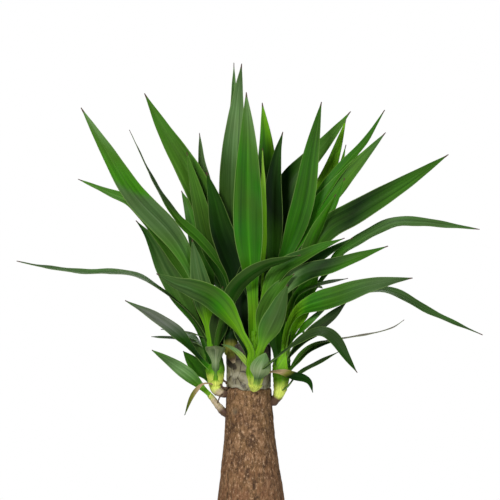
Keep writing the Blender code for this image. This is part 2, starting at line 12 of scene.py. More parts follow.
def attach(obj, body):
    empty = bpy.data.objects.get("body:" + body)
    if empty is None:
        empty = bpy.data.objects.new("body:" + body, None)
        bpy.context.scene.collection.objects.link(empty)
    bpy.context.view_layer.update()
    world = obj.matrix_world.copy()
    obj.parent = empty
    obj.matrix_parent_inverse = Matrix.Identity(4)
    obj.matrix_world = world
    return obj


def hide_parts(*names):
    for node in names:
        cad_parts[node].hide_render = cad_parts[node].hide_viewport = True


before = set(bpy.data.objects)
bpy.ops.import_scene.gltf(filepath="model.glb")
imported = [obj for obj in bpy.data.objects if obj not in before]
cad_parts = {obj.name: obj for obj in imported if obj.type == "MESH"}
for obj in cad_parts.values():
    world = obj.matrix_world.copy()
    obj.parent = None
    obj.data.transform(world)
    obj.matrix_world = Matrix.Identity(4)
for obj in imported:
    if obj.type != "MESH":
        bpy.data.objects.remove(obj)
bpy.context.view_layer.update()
print("frame loaded:", len(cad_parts), "nodes")

mm = 0.001
fullTurn = 2 * math.pi
front = Vector((0, -1, 0))
back = Vector((0, 1, 0))
left = Vector((-1, 0, 0))
right = Vector((1, 0, 0))
up = Vector((0, 0, 1))
rng = np.random.default_rng(7)


# small helpers

def clearSelection():
    bpy.ops.object.select_all(action="DESELECT")


def activate(obj):
    clearSelection()
    obj.select_set(True)
    bpy.context.view_layer.objects.active = obj


def editMode(obj):
    activate(obj)
    bpy.ops.object.mode_set(mode="EDIT")
    bpy.ops.mesh.select_all(action="SELECT")


def objectMode():
    bpy.ops.object.mode_set(mode="OBJECT")


def applyModifiers(obj):
    activate(obj)
    for modifier in list(obj.modifiers):
        bpy.ops.object.modifier_apply(modifier=modifier.name)


def joinPieces(pieces, name):
    activate(pieces[0])
    for piece in pieces:
        piece.select_set(True)
    bpy.ops.object.join()
    joined = bpy.context.object
    joined.name = name
    return joined


def settle(obj):
    # its place goes into its mesh
    activate(obj)
    bpy.ops.object.transform_apply(location=True, rotation=True, scale=True)


def smoothShade(obj, angle=35):
    activate(obj)
    bpy.ops.object.shade_smooth_by_angle(angle=math.radians(angle))


def finishPiece(obj, slot, *nodes):
    settle(obj)
    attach(obj, "root")
    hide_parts(*nodes)


def readPoints(obj):
    points = np.empty(len(obj.data.vertices) * 3)
    obj.data.vertices.foreach_get("co", points)
    return points.reshape(-1, 3)


def writePoints(obj, points):
    obj.data.vertices.foreach_set("co", np.asarray(points, float).ravel())
    obj.data.update()


def softStep(value, low, high):
    share = np.clip((value - low) / (high - low), 0, 1)
    return share * share * (3 - 2 * share)


def turnUp(name, rings, sides):
    # a round shape: a filled circle, then one extrusion for each (radius, height, shift along X)
    radius, height, shift = rings[0]
    clearSelection()
    bpy.ops.mesh.primitive_circle_add(vertices=sides, radius=radius * mm, fill_type="NGON",
                                      location=(shift * mm, 0, height * mm))
    obj = bpy.context.object
    obj.name = name
    settle(obj)
    editMode(obj)
    for (wide, low, here), (nextWide, high, there) in zip(rings, rings[1:]):
        step = ((there - here) * mm, 0, (high - low) * mm)
        bpy.ops.mesh.extrude_region_move(TRANSFORM_OT_translate={"value": step})
        grow = nextWide / wide
        bpy.ops.transform.resize(value=(grow, grow, 1), center_override=(there * mm, 0, high * mm))
    bpy.ops.mesh.select_all(action="SELECT")
    bpy.ops.mesh.normals_make_consistent(inside=False)
    objectMode()
    return obj


def roughen(obj, name, kind, size, depth, group=""):
    # pushes the surface in and out with a procedural texture
    texture = bpy.data.textures.new(name, kind)
    texture.noise_scale = size * mm
    modifier = obj.modifiers.new(name, "DISPLACE")
    modifier.texture = texture
    modifier.texture_coords = "LOCAL"
    modifier.strength = depth * mm
    modifier.mid_level = 0.5
    modifier.vertex_group = group


def weightPoints(obj, group, weights):
    made = obj.vertex_groups.new(name=group)
    for index, weight in enumerate(weights):
        made.add([index], float(weight), "REPLACE")


# shader helpers

def addNode(tree, kind, inputs=None, **settings):
    made = tree.nodes.new("ShaderNode" + kind)
    for key, value in settings.items():
        setattr(made, key, value)
    for key, value in (inputs or {}).items():
        if isinstance(value, bpy.types.NodeSocket):
            tree.links.new(value, made.inputs[key])
        else:
            made.inputs[key].default_value = value
    return made


def mixColour(tree, factor, first, second, blend="MIX"):
    made = addNode(tree, "Mix", data_type="RGBA", blend_type=blend)
    for index, value in ((0, factor), (6, first), (7, second)):
        if isinstance(value, bpy.types.NodeSocket):
            tree.links.new(value, made.inputs[index])
        else:
            made.inputs[index].default_value = value if index == 0 else (*value, 1)
    return made.outputs[2]


def mask(tree, value, low, high):
    # 0 at low, 1 at high, and smooth between them
    made = addNode(tree, "MapRange", {"Value": value, "From Min": low, "From Max": high},
                   interpolation_type="SMOOTHSTEP")
    return made.outputs["Result"]


def sums(tree, operation, first, second=0.0):
    return addNode(tree, "Math", {0: first, 1: second}, operation=operation).outputs[0]


def times(tree, first, second):
    return sums(tree, "MULTIPLY", first, second)


def scaled(tree, value, factor, base):
    return sums(tree, "ADD", times(tree, value, factor), base)


def overlay(tree, colour, pattern, span, amount, shade, blend="MIX"):
    # the shade comes over the colour as the pattern goes from span's first value to its second
    return mixColour(tree, times(tree, mask(tree, pattern, *span), amount), colour, shade, blend)


def objectPlace(tree, scale=(1, 1, 1)):
    place = addNode(tree, "TexCoord").outputs["Object"]
    return addNode(tree, "Mapping", {"Vector": place, "Scale": scale}).outputs["Vector"]


def heightOf(tree, place):
    return addNode(tree, "SeparateXYZ", {"Vector": place}).outputs["Z"]


def cloudNoise(tree, place, scale, detail=4, rough=0.5):
    inputs = {"Vector": place, "Scale": scale, "Detail": detail, "Roughness": rough}
    return addNode(tree, "TexNoise", inputs).outputs[0]


def nearness(tree, place, middle, ragged, outer, inner):
    # 1 within inner of the middle, 0 past outer, with a ragged rim
    point = tuple(value * mm for value in middle)
    away = addNode(tree, "VectorMath", {0: place, 1: point}, operation="DISTANCE").outputs["Value"]
    return mask(tree, sums(tree, "ADD", away, ragged), outer, inner)


def newGroup(name, inputs, outputs):
    tree = bpy.data.node_groups.new(name, "ShaderNodeTree")
    for label, kind in inputs:
        tree.interface.new_socket(label, in_out="INPUT", socket_type="NodeSocket" + kind)
    for label, kind in outputs:
        tree.interface.new_socket(label, in_out="OUTPUT", socket_type="NodeSocket" + kind)
    return tree, tree.nodes.new("NodeGroupInput").outputs, tree.nodes.new("NodeGroupOutput").inputs


def buildMottle():
    # uneven colour: lighter and darker clouds over any colour
    tree, given, result = newGroup("mottle", [("Colour", "Color"), ("Place", "Vector"), ("Scale", "Float"),
                                              ("Amount", "Float")], [("Colour", "Color")])
    pattern = cloudNoise(tree, given["Place"], given["Scale"], 3)
    lift = times(tree, sums(tree, "SUBTRACT", pattern, 0.5), given["Amount"])
    inputs = {"Hue": scaled(tree, lift, 0.06, 0.5), "Value": sums(tree, "ADD", lift, 1.0),
              "Color": given["Colour"]}
    tree.links.new(addNode(tree, "HueSaturation", inputs).outputs[0], result["Colour"])
    return tree


def buildGrain():
    # fine relief of two sizes, for a Bump node
    tree, given, result = newGroup("grain", [("Place", "Vector"), ("Scale", "Float"), ("Coarse", "Float")],
                                   [("Height", "Float")])
    fine = cloudNoise(tree, given["Place"], given["Scale"])
    broad = cloudNoise(tree, given["Place"], times(tree, given["Scale"], 0.2), 2)
    tree.links.new(scaled(tree, broad, given["Coarse"], fine), result["Height"])
    return tree


mottleGroup = buildMottle()
grainGroup = buildGrain()


def mottle(tree, colour, place, scale, amount):
    made = addNode(tree, "Group", node_tree=mottleGroup)
    if isinstance(colour, bpy.types.NodeSocket):
        tree.links.new(colour, made.inputs["Colour"])
    else:
        made.inputs["Colour"].default_value = (*colour, 1)
    tree.links.new(place, made.inputs["Place"])
    made.inputs["Scale"].default_value = scale
    made.inputs["Amount"].default_value = amount
    return made.outputs["Colour"]


def grain(tree, place, scale, coarse):
    made = addNode(tree, "Group", {"Place": place, "Scale": scale, "Coarse": coarse}, node_tree=grainGroup)
    return made.outputs["Height"]


def newMaterial(name, **constants):
    finish = bpy.data.materials.new(name)
    finish.use_nodes = True
    shader = finish.node_tree.nodes["Principled BSDF"]
    shader.inputs["Metallic"].default_value = 0
    for label, value in constants.items():
        shader.inputs[label.replace("_", " ")].default_value = value
    return finish, finish.node_tree, shader


def connect(tree, shader, colour, roughness, height, depth, strength=1.0):
    # depth is the relief in millimetres
    bump = addNode(tree, "Bump", {"Height": height, "Distance": depth * mm, "Strength": strength})
    tree.links.new(colour, shader.inputs["Base Color"])
    tree.links.new(roughness, shader.inputs["Roughness"])
    tree.links.new(bump.outputs[0], shader.inputs["Normal"])


# leaves

tones = {                  # what a leaf reflects, red, green and blue, with painted shade and painted light in some tones, as noted
    "bright": (0.032, 0.165, 0.002),
    "mid": (0.028, 0.110, 0.005),
    "fresh": (0.046, 0.145, 0.011),
    "fern": (0.040, 0.105, 0.020),
    # grey and ash: the paler grey-green of undersides and bloom, and in part a painted sheen
    "grey": (0.054, 0.116, 0.032),
    "ash": (0.100, 0.125, 0.085),
    "slate": (0.024, 0.055, 0.013),
    # dark: a darker green, and painted shade for leaves that lie in the crown's shade
    "dark": (0.010, 0.052, 0.002),
    # painted shade: a near-black green for leaves, stems and stretches of them that lie in the crown's shade
    "deep": (0.004, 0.018, 0.002),
    # lime and pear: the yellow-green of feet, sheaths and young leaves, made brighter in places as painted
    # light where they lie in shade
    "lime": (0.110, 0.320, 0.006),
    "pear": (0.200, 0.350, 0.045),
    # painted light: a bright yellow-green on feet, stems and leaves that lie in shade
    "spring": (0.170, 0.460, 0.012),
    "olive": (0.026, 0.078, 0.004),
    # bulb: the pale yellow of the swollen stems, set lighter in part as painted light, since they lie under
    # the crown
    "bulb": (0.600, 0.730, 0.110),
    "beige": (0.500, 0.420, 0.230),
    "root": (0.110, 0.068, 0.038),
    "tan": (0.420, 0.300, 0.160),
    "mauve": (0.110, 0.105, 0.075),
    # silver and frost: grey-green bloom, and in part a painted sheen
    "silver": (0.115, 0.230, 0.070),
    "frost": (0.195, 0.265, 0.120),
    "moss": (0.150, 0.160, 0.022),
    "jade": (0.022, 0.135, 0.003),
}

leafShape = {
    "columns": 12,
    "rows": 60,
    "footShare": 0.36,     # width of the narrow foot, as a share of the full width
    "footEnds": 0.22,      # places along the leaf: its narrow foot ends,
    "full": 0.50,          # it has its full width,
    "tapers": 0.54,        # it starts to taper
    "taperPower": 1.7,
    "tipWidth": 1.0,
    "fold": 0.22,          # the margins stand this far above the midrib, per unit of half width
    "foldRound": 0.10,
    "footCup": 1.1,        # the foot clasps the stem by this angle, to each side
    "cupEnds": 0.3,
    "thickFoot": 2.6,
    "thickBlade": 0.9,
    "fleshyEnds": 0.35,
    "claspRows": 13,       # the sheath below the foot: rows of the sheet,
    "claspLeast": 13,      # only leaves at least this wide have one,
    "claspLength": 34,     # how far it goes down the stem,
    "claspWrap": 1.5,      # how far it goes round it, to each side
    "claspSink": 1.6,      # how deep its lower end lies in the stem,
    "claspSinkEnds": 0.35, # the share of its length that is sunk,
    "claspStand": 0.5,     # how far it stands off the stem's skin,
    "claspPoint": 0.35,    # its width and thickness at its lower end, as shares of the full ones,
    "claspFewest": 4,      # and the fewest steps of the stem it may cover
    "stemSteps": 60,       # steps along a stem, to find the place nearest to a leaf
    "footStand": 0.6,      # a foot comes out this far over the stem's skin,
    "footHeld": 0.04,      # over this share of the blade,
    "footFades": 0.16,     # and over this share more it comes back to its route
    "flattest": 0.02,      # least angle of a cupped blade
    "marginThin": 0.45,    # how much thinner the margins are
    "slant": 0.10,         # a change of tone runs slantwise
    "toneSpread": 0.16,    # how far the leaves differ
    "wave": 0.5,           # ripple of the margins
    "waveLength": 46,
}


def smoothRoute(points, count):
    # count points evenly spaced along a smooth curve through the given ones
    knots = [Vector(point) for point in points]
    fine = []
    for index in range(len(knots) - 1):
        before = knots[max(index - 1, 0)]
        start = knots[index]
        end = knots[index + 1]
        after = knots[min(index + 2, len(knots) - 1)]
        span = (end - start).length
        leave = start + (end - before).normalized() * span / 3
        arrive = end - (after - start).normalized() * span / 3
        fine += geometry.interpolate_bezier(start, leave, arrive, end, 24)[:-1]
    fine.append(knots[-1])
    lengths = [0.0]
    for near, far in zip(fine, fine[1:]):
        lengths.append(lengths[-1] + (far - near).length)
    goals = np.linspace(0, lengths[-1], count)
    axes = [np.interp(goals, lengths, [point[axis] for point in fine]) for axis in range(3)]
    return [Vector(place) for place in zip(*axes)], lengths[-1]


def directions(route):
    last = len(route) - 1
    return [(route[min(i + 1, last)] - route[max(i - 1, 0)]).normalized() for i in range(last + 1)]


def flatSheet(name, columns, rows):
    # a grid one unit wide and long, laid out for bending: its UV map runs across and along
    clearSelection()
    bpy.ops.mesh.primitive_grid_add(x_subdivisions=columns, y_subdivisions=rows, size=1,
                                    location=(0, 0.5, 0))
    sheet = bpy.context.object
    sheet.name = name
    settle(sheet)
    return sheet


def copySheet(sheet, name):
    made = sheet.copy()
    made.data = sheet.data.copy()
    made.name = name
    bpy.context.scene.collection.objects.link(made)
    return made


def blendTones(shades, along):
    # shades are tones spread evenly, or (place, tone)
    even = np.linspace(0, 1, max(len(shades), 2))
    stops = [shade if isinstance(shade, tuple) else (even[i], shade) for i, shade in enumerate(shades)]
    places = [stop[0] for stop in stops]
    mixed = zip(*[tones[stop[1]] for stop in stops])
    return np.stack([np.interp(along, places, channel) for channel in mixed], axis=1)


def tint(obj, colours, seed):
    # seed shifts the pattern from leaf to leaf
    shown = np.ones((len(colours), 4))
    shown[:, :3] = colours * (1 + leafShape["toneSpread"] * (seed - 0.5))
    painted = obj.data.color_attributes.new("leafTint", "FLOAT_COLOR", "POINT")
    painted.data.foreach_set("color", shown.ravel())
    seeds = obj.data.attributes.new("leafSeed", "FLOAT", "POINT")
    seeds.data.foreach_set("value", np.full(len(colours), seed))


def leafWidth(along):
    # width at each place along a leaf, as a share of its full width
    share = leafShape["footShare"]
    share = share + (1 - share) * softStep(along, leafShape["footEnds"], leafShape["full"])
    taper = np.clip((along - leafShape["tapers"]) / (1 - leafShape["tapers"]), 0, 1)
    return share * (1 - taper ** leafShape["taperPower"])


def stemRoute(stations, count):
    # points along a stem, its radius at each, and its length
    route, length = smoothRoute([station[:3] for station in stations], count)
    radii = smoothRoute([(station[3], 0, i) for i, station in enumerate(stations)], count)[0]
    return route, [spot.x for spot in radii], length


def claspStem(start, footFace, stations, lowestShare):
    # the sheath under a leaf's foot: points on the stem's skin, its radius there, and their
    # places along the stem
    steps = leafShape["stemSteps"]
    last = steps - 1
    route, radii, length = stemRoute(stations, steps)
    nearest = min(range(steps), key=lambda i: (route[i] - start).length)
    reach = round(leafShape["claspLength"] / length * last)
    lowest = max(nearest - reach, round(lowestShare * last))
    if nearest - lowest < leafShape["claspFewest"]:
        return [], [], []
    places = []
    bulges = []
    shares = []
    rows = leafShape["claspRows"]
    for step in range(rows):
        share = step / rows
        here = lowest + (nearest - lowest) * share
        low = int(here)
        axis = route[low].lerp(route[low + 1], here - low)
        ahead = (route[low + 1] - route[low]).normalized()
        outward = (ahead * footFace.dot(ahead) - footFace).normalized()
        sink = leafShape["claspSink"] * max(1 - share / leafShape["claspSinkEnds"], 0)
        places.append(axis + outward * (radii[low] + leafShape["claspStand"] - sink))
        bulges.append(radii[low])
        shares.append(here / last)
    return places, bulges, shares


def clearStem(blade, footFace, stations):
    # a foot that starts inside the stem comes out on its skin, on the side where the leaf grows;
    # a leaf behind the stem, which faces forwards, stays as it is
    if footFace.dot(back) < -0.5:
        return blade
    steps = leafShape["stemSteps"]
    route, radii = stemRoute(stations, steps)[:2]
    ahead = directions(route)
    shown = []
    for step, place in enumerate(blade):
        nearest = min(range(steps), key=lambda i: (route[i] - place).length)
        outward = (ahead[nearest] * footFace.dot(ahead[nearest]) - footFace).normalized()
        lack = radii[nearest] + leafShape["footStand"] - (place - route[nearest]).dot(outward)
        past = max(step / len(blade) - leafShape["footHeld"], 0)
        fade = 1 - min(past / leafShape["footFades"], 1)
        shown.append(place + outward * max(lack, 0) * fade)
    return shown


def bendLeaf(sheet, name, plan, shoot=None):
    points, width, footFace, tipFace, *shades = plan
    leaf = copySheet(sheet, name)
    flat = readPoints(leaf)
    side = flat[:, 0] * 2
    rows = leafShape["rows"]
    row = np.rint(flat[:, 1] * rows).astype(int)
    sheath, bulges, shares = [], [], []
    if shoot and width >= leafShape["claspLeast"]:
        sheath, bulges, shares = claspStem(Vector(points[0]), footFace.normalized(), shoot["stem"],
                                           shoot["claspFrom"])
    foot = len(sheath)
    narrow = leafShape["claspPoint"]
    blade, length = smoothRoute(points, rows + 1 - foot)
    if foot:
        blade = clearStem(blade, footFace.normalized(), shoot["stem"])
    route = sheath + blade
    across = []
    lift = []
    for step, ahead in enumerate(directions(route)):
        share = max(step - foot, 0) / (rows - foot)
        face = footFace.normalized().lerp(tipFace.normalized(), share)
        rise = (face - ahead * face.dot(ahead)).normalized()
        lift.append(rise)
        across.append(ahead.cross(rise))
    route, across, lift = (np.array([tuple(v) for v in line])[row] for line in (route, across, lift))
    along = np.clip((row - foot) / (rows - foot), 0, 1)
    half = np.maximum(width * leafWidth(along), leafShape["tipWidth"]) / 2
    cup = np.maximum(leafShape["footCup"] * (1 - along / leafShape["cupEnds"]),
                     leafShape["flattest"])
    if foot:
        # the sheath wraps round the stem and narrows upwards to the leaf's foot
        climb = np.clip(row / foot, 0, 1)
        skin = np.interp(row, range(foot), bulges) + leafShape["claspStand"]
        ease = softStep(climb, 0.15, 1)
        spread = skin * leafShape["claspWrap"] * (narrow + (1 - narrow) * softStep(climb, 0, 0.3))
        half = np.where(row < foot, spread * (1 - ease) + half * ease, half)
        turn = half / skin
        cup = np.where(row < foot, turn * (1 - ease) + cup * ease, cup)
    fold = leafShape["fold"] * (np.sqrt(side ** 2 + leafShape["foldRound"] ** 2) - 0.5)
    fold = fold * softStep(along, -0.01, 0.12)
    seed = rng.random()
    wave = np.sin(along * length / leafShape["waveLength"] * fullTurn + side * 1.5 + seed * 30)
    wave = leafShape["wave"] * wave * np.abs(side) ** 3 * softStep(along, 0.1, 0.4)
    outward = half * np.sin(cup * side) / cup
    upward = half * ((1 - np.cos(cup * side)) / cup + fold) + wave
    spots = route + across * outward[:, None] + lift * upward[:, None]
    writePoints(leaf, spots * mm)
    fleshy = np.clip(1 - along / leafShape["fleshyEnds"], 0, 1)
    thick = leafShape["thickBlade"] + (leafShape["thickFoot"] - leafShape["thickBlade"]) * fleshy
    thick = thick * (1 - leafShape["marginThin"] * side ** 4)
    thick = thick * (narrow + (1 - narrow) * softStep(row, -1, foot))
    weightPoints(leaf, "thickness", thick / leafShape["thickFoot"])
    colours = blendTones(shades, along + leafShape["slant"] * side * along)
    if foot:
        # the sheath has the stem's colours, and takes the leaf's own near its foot
        below = blendTones(shoot["shades"], np.interp(row, range(foot), shares))
        own = softStep(row / foot, 0.55, 1)[:, None]
        colours = np.where(row[:, None] < foot, below * (1 - own) + colours * own, colours)
    tint(leaf, colours, seed)
    return leaf


def thicken(leaf):
    modifier = leaf.modifiers.new("thickness", "SOLIDIFY")
    modifier.thickness = leafShape["thickFoot"] * mm
    modifier.offset = 0
    modifier.vertex_group = "thickness"
    modifier.material_offset = 1
    modifier.material_offset_rim = 0
    applyModifiers(leaf)
    leaf.vertex_groups.clear()


stemShape = {
    "columns": 40,
    "rows": 72,
    "sheath": 9,           # height between two sheath edges
    "step": 0.7,
    "rib": 0.15,
    "ribs": 9,
    "lumps": 4,            # on the woody base
    "woodEnds": 0.27,
    "woodFades": 0.08,
}


def rollStem(sheet, name, stations, shades):
    # the swollen stem of a shoot, through (x, y, z, radius) stations
    made = copySheet(sheet, name)
    flat = readPoints(made)
    rows = stemShape["rows"]
    angle = flat[:, 0] * fullTurn
    along = flat[:, 1]
    row = np.rint(along * rows).astype(int)
    route, radii, length = stemRoute(stations, rows + 1)
    across = []
    lift = []
    for ahead in directions(route):
        outward = ahead.cross(front).normalized()
        across.append(outward)
        lift.append(outward.cross(ahead))
    route, across, lift = (np.array([tuple(v) for v in line])[row] for line in (route, across, lift))
    radius = np.array(radii)[row]
    seed = rng.random()
    # sheath edges wind round the stem, each a small step
    turns = along * length / stemShape["sheath"] + angle / fullTurn
    radius = radius + stemShape["step"] * (0.5 - turns % 1) * softStep(along, 0.05, 0.2)
    radius = radius + stemShape["rib"] * np.sin(angle * stemShape["ribs"] + 3 * np.sin(along * 7 + seed * 9))
    outward = across * (np.cos(angle) * radius)[:, None]
    spots = route + outward + lift * (np.sin(angle) * radius)[:, None]
    writePoints(made, spots * mm)
    tint(made, blendTones(shades, along), seed)
    woodEnds = stemShape["woodEnds"]
    weightPoints(made, "woody", softStep(along, woodEnds, woodEnds - stemShape["woodFades"]))
    roughen(made, "lumps", "CLOUDS", 6, stemShape["lumps"], "woody")
    applyModifiers(made)
    made.vertex_groups.clear()
    editMode(made)
    bpy.ops.mesh.remove_doubles(threshold=0.01 * mm)
    bpy.ops.mesh.select_all(action="SELECT")
    bpy.ops.mesh.fill_holes(sides=0)
    bpy.ops.mesh.select_all(action="SELECT")
    bpy.ops.mesh.normals_make_consistent(inside=False)
    objectMode()
    return made


def giveLayers(obj, layers):
    obj.data.materials.clear()
    for layer in layers:
        obj.data.materials.append(layer)


def dressShoot(name, node, shoot):
    stem = rollStem(stemSheet, name + "Stem", shoot["stem"], shoot["shades"])
    giveLayers(stem, (leafFace, leafBack, shootSkin))
    for polygon in stem.data.polygons:
        polygon.material_index = 2
    leaves = [bendLeaf(leafSheet, name + "Leaf", plan, shoot) for plan in shoot["leaves"]]
    for leaf in leaves:
        thicken(leaf)
    roots = [rollStem(stemSheet, name + "Root", stations, ["root"]) for stations in shoot.get("roots", [])]
    for root in roots:
        giveLayers(root, (shootSkin,))
    piece = joinPieces([stem] + leaves + roots, name)
    smoothShade(piece, 50)
    finishPiece(piece, "leaf", node)
    print(name, "made:", len(leaves), "leaves")
    return piece


def greenMaterial(name, look):
    # leaf blades and shoot skins: UV x runs across, UV y from foot to tip
    finish, tree, shader = newMaterial(name, Specular_IOR_Level=0.07, Coat_Weight=look["coat"],
                                       Coat_Roughness=0.35)
    place = objectPlace(tree)
    spread = addNode(tree, "SeparateXYZ", {"Vector": addNode(tree, "UVMap").outputs["UV"]})
    across = spread.outputs["X"]
    along = spread.outputs["Y"]
    tinted = addNode(tree, "Attribute", attribute_name="leafTint").outputs["Color"]
    seed = addNode(tree, "Attribute", attribute_name="leafSeed").outputs["Fac"]
    shift = times(tree, seed, 90.0)

    def streaks(wide, long, detail=2.0):
        inputs = {"X": times(tree, across, wide), "Y": times(tree, along, long), "Z": shift}
        return cloudNoise(tree, addNode(tree, "CombineXYZ", inputs).outputs[0], 1.0, detail)

    bands = streaks(*look["bands"])
    veins = streaks(*look["veins"])
    colour = mottle(tree, tinted, place, look["cloudScale"], look["cloud"])
    # bands and veins darken and lighten the leaf's own green
    for pattern, span, amount, shade in ((bands, (0.48, 0.30), look["bandDark"], (0.35, 0.42, 0.35)),
                                         (bands, (0.52, 0.72), look["bandPale"], look["pale"]),
                                         (veins, (0.46, 0.62), look["veinPale"], look["pale"])):
        colour = overlay(tree, colour, pattern, span, amount, shade, "MULTIPLY")
    dull = streaks(3.0, 1.3, 1.0)
    colour = overlay(tree, colour, dull, (0.42, 0.62), look["bloom"], look["bloomColour"])
    if look["blade"]:
        # a paler midrib, paler margins and a brown tip
        aside = sums(tree, "ABSOLUTE", sums(tree, "SUBTRACT", across, 0.5))
        colour = overlay(tree, colour, aside, (0.055, 0.012), look["rib"], (1.9, 1.6, 2.4), "MULTIPLY")
        colour = overlay(tree, colour, aside, (0.462, 0.485), 0.5, (0.20, 0.32, 0.08))
        colour = overlay(tree, colour, along, (0.978, 0.992), 1.0, (0.09, 0.05, 0.035))
    roughness = scaled(tree, bands, look["roughSpread"], look["rough"])
    height = scaled(tree, bands, 0.6, veins)
    height = scaled(tree, grain(tree, place, 900.0, 0.5), 0.25, height)
    connect(tree, shader, colour, roughness, height, look["relief"])
    return finish


leafFaceLook = {
    "blade": True,
    "coat": 0.0,
    "bands": (7.0, 2.2),
    "veins": (46.0, 2.0),
    "cloudScale": 22.0,
    "cloud": 0.5,
    "bandDark": 0.6,
    "bandPale": 0.6,
    "veinPale": 0.45,
    "pale": (1.7, 1.5, 1.8),
    "bloom": 0.06,
    "bloomColour": (0.10, 0.15, 0.045),
    "rib": 0.30,
    "rough": 0.30,
    "roughSpread": 0.25,
    "relief": 0.25,
}
leafBackLook = {
    **leafFaceLook,
    "bloom": 0.22,
    "rough": 0.42,
}
shootSkinLook = {
    **leafFaceLook,
    "blade": False,
    "coat": 0.04,
    "bands": (16.0, 1.6),
    "veins": (60.0, 2.5),
    "cloudScale": 60.0,
    "cloud": 0.4,
    "bandDark": 0.35,
    "bandPale": 0.35,
    "pale": (1.25, 1.15, 2.0),
    "bloom": 0.0,
    "rough": 0.38,
    "relief": 0.35,
}
dryLook = {
    **leafFaceLook,
    "blade": False,
    "bandPale": 0.4,
    "pale": (1.5, 1.5, 1.6),
    "bloom": 0.0,
    "rough": 0.6,
    "relief": 0.4,
}
leafFace = greenMaterial("leafFace", leafFaceLook)
leafBack = greenMaterial("leafBack", leafBackLook)
shootSkin = greenMaterial("shootSkin", shootSkinLook)
dryLeaf = greenMaterial("dryLeaf", dryLook)

leafSheet = flatSheet("leafSheet", leafShape["columns"], leafShape["rows"])
leafSheet.data.materials.append(leafFace)
leafSheet.data.materials.append(leafBack)
stemSheet = flatSheet("stemSheet", stemShape["columns"], stemShape["rows"])


# shoots: stems and roots go through (x, y, z, radius); each leaf is its route from foot to
# tip, its width, where its upper face looks at the foot and at the tip, and its tones from foot
# to tip, which stay the same before the first place and after the last; where a leaf or stem
# lies in the crown's shade, its tones carry painted shade, and bright tones on shaded feet
# and leaves are painted light

